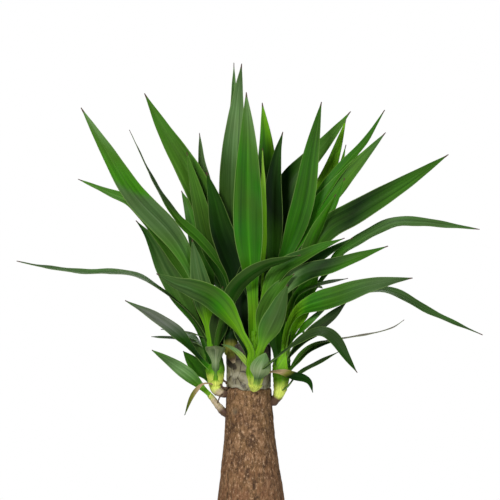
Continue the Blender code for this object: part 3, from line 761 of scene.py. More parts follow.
leftShoot = {
    "stem": [(-27, -4, 482, 5), (-38, -5, 481, 9), (-51, -6, 486, 13.5), (-53, -7, 503, 12),
             (-54, -8, 527, 11.5), (-57, -9, 550, 9), (-56, -9, 576, 4)],
    "shades": [(0, "root"), (0.12, "root"), (0.15, "beige"), (0.20, "beige"), (0.25, "bulb"), (0.37, "bulb"),
               (0.46, "lime"), (0.60, "fresh"), (1, "mid")],
    "claspFrom": 0.25,
    "roots": [[(-41, -10, 482, 1.6), (-46, -14, 476, 1.1), (-49, -14, 470, 0.8), (-50, -12, 465, 0.5)],
              [(-36, -12, 488, 2.0), (-41, -15, 489, 1.8), (-45, -16, 493, 1.1), (-46, -15, 498, 0.6)],
              [(-36, -8, 496, 1.5), (-40, -11, 499, 1.3), (-43, -11, 504, 0.9), (-42, -10, 509, 0.5)]],
    "leaves": [
        ([(-57, -9, 535), (-70, -14, 610), (-97, -20, 683), (-120, -23, 720), (-174, -27, 779),
         (-217, -30, 849), (-252, -32, 908)], 37, front + right, front + right * 0.2, "fern", (0.2, "grey"),
         (0.35, "fresh"), (0.5, "grey"), (0.645, "grey"), (0.675, "bright"), (0.84, "fresh"),
         (1, "silver")),
        ([(-58, -5, 540), (-75, -4, 610), (-103, 0, 668), (-140, 4, 724), (-178, 8, 765), (-216, 10, 782),
         (-260, 12, 801)], 30, front + right, up + front * 0.8, "fern", (0.3, "fresh")),
        ([(-59, -6, 530), (-76, -4, 574), (-102, 0, 619), (-129, 4, 667), (-152, 6, 713), (-173, 8, 739)],
         33, back, back + up, "dark", (0.4, "mid"), (0.65, "fern"), (1, "dark")),
        ([(-58, -9, 535), (-72, -12, 570), (-96, -16, 605), (-135, -20, 637), (-172, -22, 658),
         (-212, -23, 663), (-250, -24, 663), (-313, -26, 672), (-349, -28, 680)], 30, right + up,
         up + front * 0.3, "dark", (0.3, "deep"), (0.45, "grey"), (0.55, "grey"), (0.75, "fern"),
         (1, "slate")),
        ([(-56, -12, 512), (-70, -18, 526), (-87, -24, 547), (-109, -30, 572), (-146, -36, 599),
         (-187, -40, 622)], 23, front + right, up + front * 0.8, "lime", (0.08, "bright"), (0.18, "deep"),
         (0.4, "dark"), (0.6, "ash"), (0.8, "ash"), (1, "grey")),
        ([(-56, -10, 548), (-66, -12, 562), (-99, -14, 573), (-135, -16, 577)], 11, up, up, "slate"),
        ([(-60, -4, 530), (-73, -2, 549), (-94, 2, 559), (-114, 4, 562), (-150, 6, 564)], 12, up + right,
         up + front * 0.6, "slate"),
        ([(-56, -6, 490), (-67, -6, 503), (-84, -4, 522), (-102, -2, 543)], 23, front + up,
         front + up * 0.6, "dark", "mid"),
        ([(-57, -3, 505), (-70, 4, 533), (-84, 9, 552), (-98, 12, 565)], 12.9, back, back + up,
         (0.3, "lime"), (0.5, "fresh"), (1, "grey")),
        ([(-57, -3, 535), (-70, 8, 580), (-86, 14, 620), (-104, 18, 655)], 30, front, front + right * 0.3,
         "deep"),
        # a near-black leaf that fills a gap in the crown: painted shade
        ([(-52, 4, 515), (-46, 12, 550), (-40, 18, 590), (-38, 22, 640)], 30, front, front, "deep"),
        ([(-58, -14, 535), (-64, -20, 585), (-70, -26, 620), (-79, -28, 664), (-88, -26, 712)], 32, back,
         back + right * 0.3, (0.36, "lime"), (0.48, "fern"), (1, "grey")),
        ([(-56, -8, 525), (-53, -18, 555), (-46, -24, 600), (-42, -26, 642)], 28, back, back, "fresh",
         (0.3, "dark"), (0.65, "deep"), (1, "fern")),
        ([(-53, -19, 503), (-53, -23, 520), (-53, -29, 538), (-53, -42, 550), (-54, -66, 554),
         (-55, -90, 559)], 30, back, up, "lime", (0.12, "grey"), (0.26, "frost")),
        ([(-52, -14, 540), (-46, -30, 580), (-34, -50, 615), (-22, -62, 642), (-1, -72, 663),
         (25, -76, 678), (46, -78, 684), (73, -80, 692)], 29, back + left, back + up, (0.35, "mid"),
         (0.5, "dark")),
        ([(-58, -2, 540), (-66, 25, 600), (-80, 70, 655), (-98, 130, 690), (-110, 190, 690)], 32, front, up,
         "mid"),
        ([(-56, 0, 550), (-62, 20, 620), (-76, 55, 690), (-92, 95, 745), (-108, 135, 780)], 32, front,
         up + front, "mid"),
        ([(-58, -1, 525), (-68, 16, 540), (-86, 50, 554), (-100, 90, 562), (-112, 130, 558)], 24,
         front + right, up, "mid"),
    ],
}
dressShoot("leavesLeft", "shoot_left", leftShoot)

frontShoot = {
    "stem": [(4, -20, 488, 6), (5, -32, 492, 10.5), (6, -42, 500, 12.5), (6, -46, 513, 12),
             (5, -47, 531, 9), (4, -46, 552, 7), (4, -45, 577, 4)],
    "shades": [(0, "root"), (0.1, "beige"), (0.14, "bulb"), (0.28, "bulb"), (0.40, "lime"), (1, "lime")],
    "claspFrom": 0.2,
    "leaves": [
        ([(5, -46, 535), (4, -44, 575), (3, -42, 620), (0, -40, 665), (-4, -38, 728), (-5, -34, 800),
         (-5, -30, 872), (-7, -28, 931)], 44, front, front, (0.17, "lime"), (0.32, "bright"),
         (0.45, "jade"), (0.6, "mid"), (0.7, "jade"), (0.82, "fresh"), (1, "silver")),
        ([(2, -48, 530), (-4, -58, 553), (-15, -66, 574), (-24, -71, 590), (-54, -82, 626), (-88, -92, 644),
         (-111, -98, 652), (-138, -104, 666)], 42, back + right, back + up * 0.7, (0.3, "lime"),
         (0.5, "bright"), (0.6, "mid"), (0.75, "fern")),
        ([(7, -48, 525), (14, -58, 550), (22, -66, 572), (37, -76, 605), (45, -80, 627), (54, -84, 649)],
         33, back, back + left * 0.3, (0.22, "lime"), (0.4, "fresh"), (0.6, "fern")),
        ([(7, -46, 535), (15, -52, 575), (25, -56, 612), (43, -60, 645), (64, -64, 663)], 30, front,
         front + up, (0.2, "lime"), (0.4, "fresh"), (0.7, "fresh"), (1, "mid")),
        ([(3, -50, 505), (-4, -52, 524), (-15, -52, 541), (-30, -48, 553), (-44, -44, 557)], 9, front + up,
         up + front, "bulb", (0.25, "pear"), (0.5, "pear"), (0.7, "silver"), (1, "grey")),
        ([(7, -55, 495), (11, -60, 512), (16, -62, 530), (22, -63, 547)], 31, back, back + left * 0.4,
         "bulb", (0.1, "pear"), (0.25, "grey"), (0.45, "frost"), (0.8, "silver")),
        ([(6, -50, 512), (22, -60, 525), (51, -68, 550), (87, -76, 574), (107, -80, 578), (124, -82, 567),
         (141, -84, 541), (156, -85, 519)], 26, up + left, up + front * 0.8, "dark", (0.3, "slate"),
         (0.7, "slate"), (1, "dark")),
        ([(6, -46, 540), (22, -50, 595), (48, -55, 640), (81, -60, 665), (118, -66, 675), (163, -74, 691),
         (201, -80, 705)], 27, front + left, front + up * 0.6, "fresh", (0.3, "grey"), (0.42, "silver"),
         (0.52, "dark"), (0.62, "deep"), (0.8, "mid")),
        ([(5, -46, 550), (17, -48, 610), (32, -50, 652), (51, -54, 675), (73, -58, 687), (100, -62, 701),
         (138, -66, 716)], 28, front + left, front + up, (0.3, "lime"), (0.42, "fresh"), (0.6, "dark"),
         (0.8, "mid")),
        ([(4, -44, 515), (-6, -38, 555), (-12, -33, 592), (-14, -30, 645)], 32, front, front, "deep"),
        ([(6, -44, 545), (30, -44, 625), (70, -46, 665), (110, -48, 692), (151, -50, 716)], 21,
         front + left, front + up * 0.5, "fern", (0.45, "mid"), (0.6, "deep"), (1, "dark")),
    ],
}
dressShoot("leavesFront", "shoot_front", frontShoot)

rightShoot = {
    "stem": [(26, -4, 464, 5), (35, -8, 469, 9), (42, -11, 481, 12), (44, -12, 496, 12.5),
             (45, -13, 520, 12), (48, -14, 550, 10), (53, -14, 580, 4)],
    # its upper part is painted light: a bright yellow-green on a stem in the leaves' shade
    "shades": [(0, "root"), (0.14, "root"), (0.18, "bulb"), (0.27, "bulb"), (0.37, "lime"), (0.5, "spring"),
               (1, "spring")],
    "claspFrom": 0.2,
    "leaves": [
        ([(51, -14, 535), (58, -14, 576), (73, -12, 620), (84, -10, 650), (95, -6, 700), (117, -2, 729),
         (151, 4, 748), (192, 8, 772), (240, 12, 801), (297, 16, 838)], 38, front + left, front + up * 0.3,
         "dark", (0.4, "mid"), (0.6, "deep"), (0.78, "mid")),
        ([(50, -16, 545), (62, -18, 600), (80, -18, 670), (91, -16, 710), (108, -14, 745), (127, -12, 779)],
         31, back + left, back + left, (0.28, "spring"), (0.4, "dark"), (0.6, "mid"), (0.9, "bright")),
        ([(52, -10, 548), (66, -6, 620), (88, 2, 690), (108, 8, 735), (126, 12, 765), (141, 14, 803)], 20,
         front, front + left * 0.5, (0.4, "dark"), (0.6, "grey"), (0.8, "bright")),
        ([(53, -12, 535), (64, -8, 570), (96, 0, 635), (118, 6, 665), (133, 10, 688), (155, 14, 704),
         (184, 18, 721), (216, 20, 735), (253, 22, 736), (298, 22, 731), (345, 22, 725)], 30, left + up,
         up + front, (0.25, "dark"), (0.4, "mid"), (0.6, "fern")),
        ([(49, -18, 530), (54, -26, 575), (64, -36, 599), (81, -46, 614), (127, -62, 630), (168, -76, 645),
         (205, -88, 654), (236, -96, 659)], 33, front + left, front + up * 0.7, (0.24, "spring"),
         (0.38, "jade"), (0.55, "mid"), (0.8, "grey"), (1, "slate")),
        ([(51, -12, 525), (59, -12, 570), (77, -11, 606), (112, -9, 624), (150, -8, 630), (190, -8, 636),
         (219, -10, 630), (264, -14, 605), (306, -18, 586), (346, -22, 569)], 26, left + up,
         up + front * 0.5, (0.42, "dark"), (0.6, "grey"), (0.8, "fern"), (1, "slate")),
        ([(52, -16, 540), (58, -22, 590), (70, -28, 630), (100, -34, 645), (144, -40, 655)], 15, left + up,
         up + front * 0.8, (0.3, "spring"), (0.42, "bright"), (0.6, "mid"), (1, "ash")),
        ([(50, -18, 520), (66, -24, 551), (90, -32, 573), (115, -38, 594), (141, -44, 619)], 26, left + up,
         back + up * 0.5, "dark", (0.5, "slate"), (0.8, "slate"), (1, "deep")),
        ([(51, -20, 530), (60, -26, 558), (78, -34, 580), (98, -40, 600), (117, -44, 618)], 17, left + up,
         front + up, "fresh", (0.5, "bright"), (1, "silver")),
        ([(45, -15, 494), (56, -24, 513), (69, -30, 532), (85, -34, 549), (103, -38, 559), (138, -42, 566),
         (177, -46, 573), (209, -48, 582), (227, -49, 594)], 8, left + up, up + front * 0.3, (0.4, "mid"),
         (0.5, "mauve")),
        ([(44, -14, 492), (55, -23, 511), (68, -29, 530), (84, -33, 547), (104, -36, 557), (132, -39, 563)],
         15, front + left + up, up + front, "bright", (0.4, "fresh"), (0.8, "fern")),
        ([(47, -14, 508), (55, -20, 530), (66, -25, 548), (80, -29, 560), (98, -32, 568)], 15, left + up,
         up + front, "deep"),
        ([(42, -14, 484), (54, -24, 491), (70, -30, 511), (102, -38, 530), (132, -44, 547)], 12,
         up + left + front * 0.5, up + front * 0.6, "fresh", "slate", "slate"),
        ([(52, -8, 545), (60, 16, 610), (76, 56, 665), (95, 110, 700), (112, 165, 700)], 32, front, up,
         "mid"),
        ([(45, -16, 505), (40, -21, 535), (36, -20, 566), (35, -10, 605), (44, -2, 668)], 34, front, front,
         "dark", "bright"),
        ([(53, -16, 535), (64, -22, 585), (80, -27, 630), (102, -34, 668)], 36, front + left, front,
         (0.35, "spring"), (0.6, "bright")),
        ([(50, -7, 530), (60, 14, 575), (78, 50, 612), (97, 95, 632), (112, 140, 628)], 27, front + left,
         up, "mid"),
    ],
}
dressShoot("leavesRight", "shoot_right", rightShoot)

backLeftShoot = {
    "stem": [(-14, -12, 520, 6), (-21, -18, 529, 9), (-28, -20, 541, 10.5), (-30, -14, 556, 9.5),
             (-29, -3, 576, 8), (-29, 9, 598, 4)],
    # above its bulb it is painted shade, near-black in the middle of the crown
    "shades": [(0, "root"), (0.1, "tan"), (0.18, "beige"), (0.23, "root"), (0.28, "moss"), (0.42, "moss"),
               (0.52, "deep"), (1, "dark")],
    "claspFrom": 0.2,
    "leaves": [
        ([(-29, -10, 560), (-30, 3, 608), (-36, 5, 653), (-56, 4, 686), (-79, 2, 713), (-109, 0, 741),
         (-143, 0, 793), (-182, 0, 875)], 19, front, right + up * 0.45, "dark", (0.5, "mid"), (0.6, "mid"),
         (0.68, "slate")),
        ([(-29, 2, 575), (-39, 26, 640), (-59, 32, 732), (-88, 34, 800), (-133, 36, 877), (-161, 38, 930)],
         43, front + right * 0.4, front + right * 0.4, (0.35, "deep"), (0.6, "fresh")),
        ([(-29, -2, 570), (-40, 18, 640), (-62, 20, 700), (-79, 20, 770), (-97, 20, 842)], 28, front, front,
         (0.4, "dark"), (0.6, "olive"), (0.8, "fresh")),
        ([(-28, -8, 562), (-25, 4, 615), (-23, 6, 662), (-33, 7, 695), (-45, 8, 728), (-55, 9, 770),
         (-67, 10, 812)], 38, front, front, (0.55, "deep"), (0.8, "dark")),
        ([(-29, 0, 575), (-29, 24, 650), (-29, 30, 770), (-27, 36, 845), (-20, 40, 925), (-14, 42, 975)],
         40, front, front + right * 0.3, "dark", (0.4, "olive"), (0.6, "fern"), (0.8, "silver"),
         (1, "grey")),
        ([(-30, -4, 570), (-42, 44, 630), (-58, 100, 690), (-70, 160, 720), (-76, 215, 705)], 35, front, up,
         "mid"),
        ([(-29, 2, 580), (-39, 54, 650), (-47, 105, 735), (-56, 155, 785)], 34, front, up + front, "mid"),
        ([(-28, -11, 564), (-21, -6, 588), (-12, 0, 618), (-10, 4, 680)], 40, front, front, "deep"),
        ([(-30, -4, 568), (-44, 42, 592), (-58, 84, 606), (-72, 128, 604), (-82, 168, 580)], 28,
         front + right, up, "mid"),
    ],
}
dressShoot("leavesBackLeft", "shoot_back_left", backLeftShoot)

backShoot = {
    "stem": [(7, 20, 500, 6), (11, 30, 516, 9.5), (14, 34, 536, 11), (15, 34, 560, 9.5),
             (16, 33, 586, 7.5), (16, 32, 610, 4)],
    "shades": [(0, "root"), (0.3, "beige"), (0.5, "lime"), (1, "mid")],
    "claspFrom": 0.25,
    "leaves": [
        ([(12, 35, 585), (-16, 54, 660), (-55, 72, 740), (-74, 84, 812), (-79, 90, 870)], 30, front,
         front + right, "deep", (0.6, "dark"), (0.75, "fresh"), (0.85, "silver")),
        ([(13, 35, 590), (0, 50, 700), (-18, 62, 820), (-26, 70, 900), (-26, 74, 977)], 26, front,
         front + right, "dark", (0.3, "jade"), (0.5, "jade"), (0.65, "fresh"), (1, "silver")),
        ([(16, 32, 590), (23, 36, 680), (24, 40, 770), (23, 44, 855), (17, 46, 916)], 35, front, front,
         (0.45, "dark"), (0.65, "deep"), (0.78, "bright"), (0.9, "lime")),
        ([(17, 31, 590), (31, 26, 665), (33, 24, 724), (34, 24, 792), (40, 24, 840), (48, 24, 872)], 30,
         front, front, (0.25, "fresh"), (0.42, "mid"), (0.58, "deep"), (1, "dark")),
        ([(18, 31, 585), (38, 22, 657), (58, 18, 702), (73, 16, 747), (82, 16, 785), (89, 18, 830),
         (96, 20, 868), (106, 22, 917)], 34, front, front, "mid", (0.4, "jade"), (1, "mid")),
        ([(16, 34, 595), (32, 46, 690), (54, 56, 786), (91, 62, 831), (117, 66, 860), (152, 70, 903)], 36,
         front, front + up * 0.5, "dark", (0.4, "deep"), (0.6, "dark"), (0.85, "fresh")),
        ([(17, 36, 590), (48, 60, 680), (88, 76, 750), (117, 86, 804), (132, 90, 845), (146, 92, 892)], 28,
         front, front + left * 0.2, "jade", (0.45, "fresh"), (0.62, "spring")),
        ([(17, 36, 585), (60, 66, 690), (104, 80, 760), (135, 90, 812), (146, 94, 852)], 18, front, front,
         "jade", (0.6, "fresh"), (1, "lime")),
        ([(18, 32, 580), (36, 34, 640), (56, 36, 695), (90, 38, 750), (126, 42, 804), (153, 46, 835),
         (174, 50, 859), (203, 54, 905)], 22, front + left, up + front, "mid", (0.4, "jade"), (1, "mid")),
        ([(19, 30, 575), (36, 25, 630), (54, 24, 684), (77, 27, 721), (102, 31, 756), (133, 35, 791),
         (159, 39, 821), (179, 42, 843), (204, 45, 871)], 34, front + left, up * 0.6 + front, (0.6, "jade"),
         (0.8, "fresh"), (1, "fern")),
        ([(16, 38, 570), (40, 80, 640), (66, 130, 690), (88, 185, 700), (104, 235, 680)], 36, front, up,
         "mid"),
        ([(14, 40, 560), (22, 90, 610), (30, 150, 640), (38, 210, 630), (44, 260, 595)], 36, front, up,
         "mid"),
        ([(12, 40, 575), (-6, 90, 650), (-24, 150, 700), (-40, 210, 715), (-54, 265, 695)], 38, front, up,
         "mid"),
        ([(10, 38, 565), (-16, 75, 610), (-44, 120, 640), (-70, 165, 640), (-92, 205, 615)], 32, front, up,
         (0.6, "dark"), (1, "mid")),
        ([(15, 38, 590), (20, 80, 690), (18, 120, 770), (10, 150, 830)], 36, front, up + front, "dark",
         (0.5, "fresh"), (0.75, "pear")),
        ([(16, 36, 595), (44, 66, 680), (60, 100, 750), (72, 140, 800)], 32, front, up + front, "mid"),
        ([(14, 38, 585), (-4, 72, 665), (-18, 116, 745), (-26, 160, 805)], 32, front, up + front, "jade"),
        ([(12, 30, 565), (4, 24, 590), (-2, 22, 630), (-2, 22, 690)], 34, front, front, "deep"),
        # a narrow pale strip in the front leaves' shade; its bright tones are painted light
        ([(15, 26, 595), (18, 4, 680), (18, -18, 750), (18, -26, 800), (17, -28, 848)], 12,
         front + right * 0.5, front + right * 0.5, "lime", "spring", "spring", "pear"),
        ([(14, 42, 548), (30, 84, 578), (52, 128, 588), (72, 170, 574), (86, 205, 548)], 26, front, up,
         "mid"),
    ],
}
dressShoot("leavesBack", "shoot_back", backShoot)

lowSprout = {
    "stem": [(-31, -4, 448, 5), (-39, -5, 450, 6), (-46, -6, 457, 5), (-54, -9, 467, 4.2),
             (-63, -12, 478, 3.4)],
    "shades": [(0, "root"), (0.3, "root"), (0.5, "beige"), (0.8, "beige"), (1, "bulb")],
    "claspFrom": 0.6,
    "leaves": [
        ([(-49, -7, 461), (-57, -10, 472), (-69, -15, 485), (-87, -20, 503), (-107, -24, 519),
         (-128, -26, 534), (-148, -28, 547)], 22, front + right, up + front * 1.3, "bulb", (0.1, "pear"),
         (0.22, "lime"), (0.38, "fresh"), (0.6, "silver"), (0.8, "grey"), (1, "fresh")),
    ],
}
dressShoot("leavesLow", "sprout_low", lowSprout)


# withered leaves, thin and curled

dryLeaves = {
    "dryLeafLeft": ("dry_leaf_left", (
        [(-54, -12, 492), (-61, -20, 496), (-72, -28, 496), (-82, -32, 487), (-90, -33, 474),
         (-99, -33, 450)],
        7, front + up, front + up, (0.4, "tan"), (0.6, "moss"), (1, "dark"))),
    "dryLeafRight": ("dry_leaf_right", (
        [(8, -44, 510), (22, -43, 514), (36, -42, 516), (50, -42, 514), (66, -42, 509), (79, -42, 506),
         (87, -42, 500), (92, -42, 485)],
        15, up + front * 0.1, front + right * 0.3, (0.38, "tan"), (0.46, "moss"), (0.54, "deep"),
        (1, "dark"))),
}
for name, (node, plan) in dryLeaves.items():
    leaf = bendLeaf(leafSheet, name, plan)
    thicken(leaf)
    giveLayers(leaf, (dryLeaf,))
    smoothShade(leaf, 50)
    finishPiece(leaf, "dry_leaf", node)
print("withered leaves made")


# cane: bark over its whole length, ridges and flakes raised by textures

cane = {
    "sides": 88,
    "rows": [(72, 22), (84, 38), (112, 50), (150, 58), (180, 62), (192, 62.5), (215, 60.5), (250, 57),
             (285, 53.5), (320, 50), (350, 46), (380, 42), (405, 39), (430, 36.8), (455, 35), (486, 33.8)],
    "rowHeight": 7,
    "fineFrom": 180,
    "lean": -3.5,
    "leanFrom": 320,
    "leanTo": 488,
    "peeled": 30,          # under the wax
    "top": 552,
    "ridge": 2.2,
    "flake": 1.1,
    "pits": 0.7,
}


def caneLean(height):
    share = (height - cane["leanFrom"]) / (cane["leanTo"] - cane["leanFrom"])
    return cane["lean"] * min(max(share, 0), 1)


def buildCane():
    heights, radii = zip(*cane["rows"])
    buried = [row for row in cane["rows"] if row[0] < cane["fineFrom"]]
    count = round((heights[-1] - cane["fineFrom"]) / cane["rowHeight"])
    shown = np.linspace(cane["fineFrom"], heights[-1], count + 1)
    rings = [(radius, height, 0) for height, radius in buried]
    rings += [(float(np.interp(z, heights, radii)), float(z), caneLean(z)) for z in shown]
    lean = caneLean(cane["top"])
    rings += [(cane["peeled"], heights[-1] + 2, lean), (cane["peeled"], cane["top"], lean)]
    trunk = turnUp("barkCane", rings, cane["sides"])
    finer = trunk.modifiers.new("finer", "SUBSURF")
    finer.subdivision_type = "SIMPLE"
    finer.levels = 1
    finer.render_levels = 1
    applyModifiers(trunk)
    points = readPoints(trunk)
    height = points[:, 2] / mm
    shownBark = softStep(height, 190, 215) * softStep(height, 488, 482)
    weightPoints(trunk, "bark", shownBark)
    # an empty stretched upwards stretches the ridges too
    bpy.ops.object.empty_add(location=(0, 0, 0))
    guide = bpy.context.object
    guide.scale = (1, 1, 7)
    roughen(trunk, "ridges", "CLOUDS", 9, cane["ridge"], "bark")
    trunk.modifiers["ridges"].texture_coords = "OBJECT"
    trunk.modifiers["ridges"].texture_coords_object = guide
    roughen(trunk, "flakes", "VORONOI", 7, cane["flake"], "bark")
    roughen(trunk, "pits", "CLOUDS", 3, cane["pits"], "bark")
    bpy.context.view_layer.update()
    applyModifiers(trunk)
    bpy.data.objects.remove(guide)
    trunk.vertex_groups.clear()
    return trunk


def barkMaterial():
    finish, tree, shader = newMaterial("bark", Specular_IOR_Level=0.25)
    place = objectPlace(tree)
    height = heightOf(tree, place)
    colour = mottle(tree, (0.205, 0.110, 0.048), place, 38.0, 0.6)

    def speckle(stretch, scale, rough):
        return cloudNoise(tree, objectPlace(tree, (1, 1, stretch)), scale, 4, rough)

    ridges = speckle(0.22, 170.0, 0.7)
    flakes = speckle(0.60, 120.0, 0.7)
    specks = speckle(0.60, 300.0, 0.75)
    patches = speckle(0.80, 42.0, 0.6)
    layers = [
        (patches, (0.52, 0.62), 0.45, (0.330, 0.190, 0.100)),
        (patches, (0.47, 0.36), 0.50, (0.090, 0.048, 0.024)),
        (ridges, (0.50, 0.38), 0.60, (0.060, 0.032, 0.018)),
        (flakes, (0.52, 0.62), 0.55, (0.365, 0.210, 0.105)),
        (flakes, (0.46, 0.37), 0.65, (0.060, 0.030, 0.016)),
        (specks, (0.53, 0.66), 0.80, (0.560, 0.370, 0.225)),
        (specks, (0.46, 0.36), 0.80, (0.030, 0.016, 0.010)),
    ]
    for pattern, span, amount, shade in layers:
        colour = overlay(tree, colour, pattern, span, amount, shade)
    red = times(tree, mask(tree, height, 0.43, 0.32), mask(tree, ridges, 0.42, 0.6))
    colour = mixColour(tree, times(tree, red, 0.4), colour, (0.270, 0.120, 0.060))
    for middle, size, shade, amount in barkSpots:
        near = nearness(tree, place, middle, times(tree, flakes, 0.006), size * mm + 0.006,
                        size * mm - 0.001)
        colour = mixColour(tree, times(tree, near, amount), colour, shade)
    # soil dust round the foot
    colour = overlay(tree, colour, height, (0.215, 0.195), 0.5, (0.040, 0.028, 0.020))
    roughness = scaled(tree, flakes, 0.25, 0.68)
    relief = scaled(tree, flakes, 0.8, ridges)
    relief = scaled(tree, grain(tree, place, 700.0, 0.6), 0.5, relief)
    connect(tree, shader, colour, roughness, relief, 1.6)
    return finish


barkSpots = [              # (middle, radius, colour, strength)
    ((-25, -28, 455), 5, (0.17, 0.15, 0.10), 0.45),
    ((-34, -14, 484), 2, (0.42, 0.29, 0.18), 0.8),
    ((34, -14, 428), 3, (0.03, 0.02, 0.015), 0.8),
    ((-8, -36, 436), 2, (0.40, 0.26, 0.17), 0.35),
]
barkCane = buildCane()
giveLayers(barkCane, (barkMaterial(),))
smoothShade(barkCane, 60)
finishPiece(barkCane, "bark", "trunk")
print("cane made")


# wax over the cut top, hollow like a thimble

wax = {
    "sides": 96,
    "inner": 30.35,
    "radius": 33.5,
    "edge": 488.35,
    "edgeWave": 1.8,
    "innerTop": 552.35,
    "top": 555,
    "rounding": 3.5,
    "rows": 22,
    "dents": 1.2,
    "drips": 0.8,
}


def buildWax():
    lean = cane["lean"]
    rim = wax["top"] - wax["rounding"]
    rings = [(3, wax["innerTop"], lean), (wax["inner"], wax["innerTop"], lean)]
    rings += [(wax["inner"], wax["edge"], lean), (wax["radius"] - 0.8, wax["edge"], lean)]
    rings += [(wax["radius"], z, lean) for z in np.linspace(wax["edge"] + 1, rim, wax["rows"])]
    for step in range(1, 5):
        angle = math.radians(90 * step / 4)
        inward = wax["rounding"] * (1 - math.cos(angle))
        rings.append((wax["radius"] - inward, rim + wax["rounding"] * math.sin(angle), lean))
    rings += [(wax["radius"] * share, wax["top"] + 1 - share, lean) for share in (0.75, 0.5, 0.25, 0.08)]
    seal = turnUp("waxCap", [tuple(float(v) for v in ring) for ring in rings], wax["sides"])
    points = readPoints(seal)
    angle = np.arctan2(points[:, 1], points[:, 0] - lean * mm)
    height = points[:, 2] / mm
    wave = wax["edgeWave"] * (np.sin(2 * angle + 1) + 0.6 * np.sin(5 * angle) + 0.4 * np.sin(11 * angle))
    points[:, 2] += wave * softStep(height, 500, 488.4) * mm
    writePoints(seal, points)
    outer = np.hypot(points[:, 0] - lean * mm, points[:, 1]) > (wax["inner"] + 1) * mm
    weightPoints(seal, "skin", outer | (height > wax["innerTop"] + 0.5))
    roughen(seal, "dents", "CLOUDS", 14, wax["dents"], "skin")
    roughen(seal, "drips", "CLOUDS", 5, wax["drips"], "skin")
    applyModifiers(seal)
    seal.vertex_groups.clear()
    return seal


def waxMaterial():
    finish, tree, shader = newMaterial("wax", Specular_IOR_Level=0.4)
    place = objectPlace(tree)
    height = heightOf(tree, place)
    colour = mottle(tree, (0.205, 0.184, 0.108), place, 45.0, 0.65)
    clouds = cloudNoise(tree, place, 90.0)
    colour = overlay(tree, colour, clouds, (0.50, 0.62), 0.6, (0.37, 0.34, 0.235))
    cracks = addNode(tree, "TexVoronoi", {"Vector": objectPlace(tree, (1, 1, 0.5)), "Scale": 75.0},
                     feature="DISTANCE_TO_EDGE").outputs["Distance"]
    crack = mask(tree, scaled(tree, clouds, 0.12, cracks), 0.100, 0.058)
    colour = mixColour(tree, times(tree, crack, 0.85), colour, (0.030, 0.024, 0.018))
    for middle, size in waxScars:
        near = nearness(tree, place, middle, times(tree, clouds, 0.012), size * mm + 0.008,
                        size * mm + 0.005)
        colour = mixColour(tree, near, colour, (0.045, 0.034, 0.024))
    # paler near the bark, and painted shade over the top, where the leaves shade it
    band = times(tree, mask(tree, height, 0.519, 0.508), mask(tree, clouds, 0.40, 0.60))
    colour = mixColour(tree, times(tree, band, 0.45), colour, (0.42, 0.40, 0.31))
    upper = scaled(tree, clouds, 0.03, height)
    colour = overlay(tree, colour, upper, (0.534, 0.550), 0.9, (0.022, 0.016, 0.011))
    roughness = scaled(tree, clouds, 0.3, 0.42)
    relief = sums(tree, "SUBTRACT", grain(tree, place, 260.0, 1.2), crack)
    connect(tree, shader, colour, roughness, relief, 0.9)
    return finish


waxScars = [               # (middle, radius)
    ((-31, -18, 527), 8),
    ((-25, -25, 521), 4),
    ((-12, -33, 494), 4),
    ((-26, -24, 504), 3),
]
waxCap = buildWax()
giveLayers(waxCap, (waxMaterial(),))
smoothShade(waxCap, 60)
finishPiece(waxCap, "wax", "wax_seal")
print("wax made")


# pot: turned clay with a collar, rounded at its edges, three drain holes

pot = {
    "sides": 96,
    "height": 215,
    "rimRadius": 120,
    "baseRadius": 84,
    "wall": 7,
    "floor": 10,
    "collar": 30,
    "collarStep": 4,
    "edge": 3,             # rounding of its edges,
    "collarEdge": 2.5,     # and of the corner under the collar
    "arcSteps": 4,
    "arcPull": 0.55,       # how far an arc's handles reach to the corner
    "middle": 8,           # radius of the innermost ring of its floor
    "drainRadius": 6,
    "drainOffset": 46,
    "drains": 3,
    "drillDepth": 30,
}


def potInside(height):
    share = (height - pot["floor"]) / (pot["height"] - pot["floor"])
    widens = pot["rimRadius"] - pot["collarStep"] - pot["baseRadius"]
    return pot["baseRadius"] - pot["wall"] + widens * share


def roundCorner(before, corner, after, size):
    # points of the arc that rounds a corner of the outline
    corner = Vector(corner)
    start = corner + (Vector(before) - corner).normalized() * size
    end = corner + (Vector(after) - corner).normalized() * size
    handles = [place.lerp(corner, pot["arcPull"]) for place in (start, end)]
    curve = [place.to_3d() for place in (start, *handles, end)]
    return [tuple(point) for point in geometry.interpolate_bezier(*curve, pot["arcSteps"] + 1)]


def buildPot():
    collar = pot["height"] - pot["collar"]
    under = potInside(collar) + pot["wall"]
    top = potInside(pot["height"])
    edge = pot["edge"]
    corners = [((pot["middle"], 0), 0), ((pot["baseRadius"], 0), edge), ((under, collar), pot["collarEdge"]),
               ((pot["rimRadius"], collar), edge), ((pot["rimRadius"], pot["height"]), edge),
               ((top, pot["height"]), edge), ((potInside(pot["floor"]), pot["floor"]), edge),
               ((pot["middle"], pot["floor"]), 0)]
    outline = []
    for index, (corner, size) in enumerate(corners):
        if size:
            outline += roundCorner(corners[index - 1][0], corner, corners[index + 1][0], size)
        else:
            outline.append(corner)
    rings = [(point[0], point[1], 0) for point in outline]
    made = turnUp("clayPot", rings, pot["sides"])
    for hole in range(pot["drains"]):
        angle = fullTurn * hole / pot["drains"] + math.pi / 2
        offset = pot["drainOffset"]
        place = (offset * math.cos(angle) * mm, offset * math.sin(angle) * mm, 0)
        clearSelection()
        bpy.ops.mesh.primitive_cylinder_add(vertices=24, radius=pot["drainRadius"] * mm,
                                            depth=pot["drillDepth"] * mm, location=place)
        drill = bpy.context.object
        cut = made.modifiers.new("drain", "BOOLEAN")
        cut.operation = "DIFFERENCE"
        cut.object = drill
        cut.solver = "EXACT"
        applyModifiers(made)
        bpy.data.objects.remove(drill)
    return made


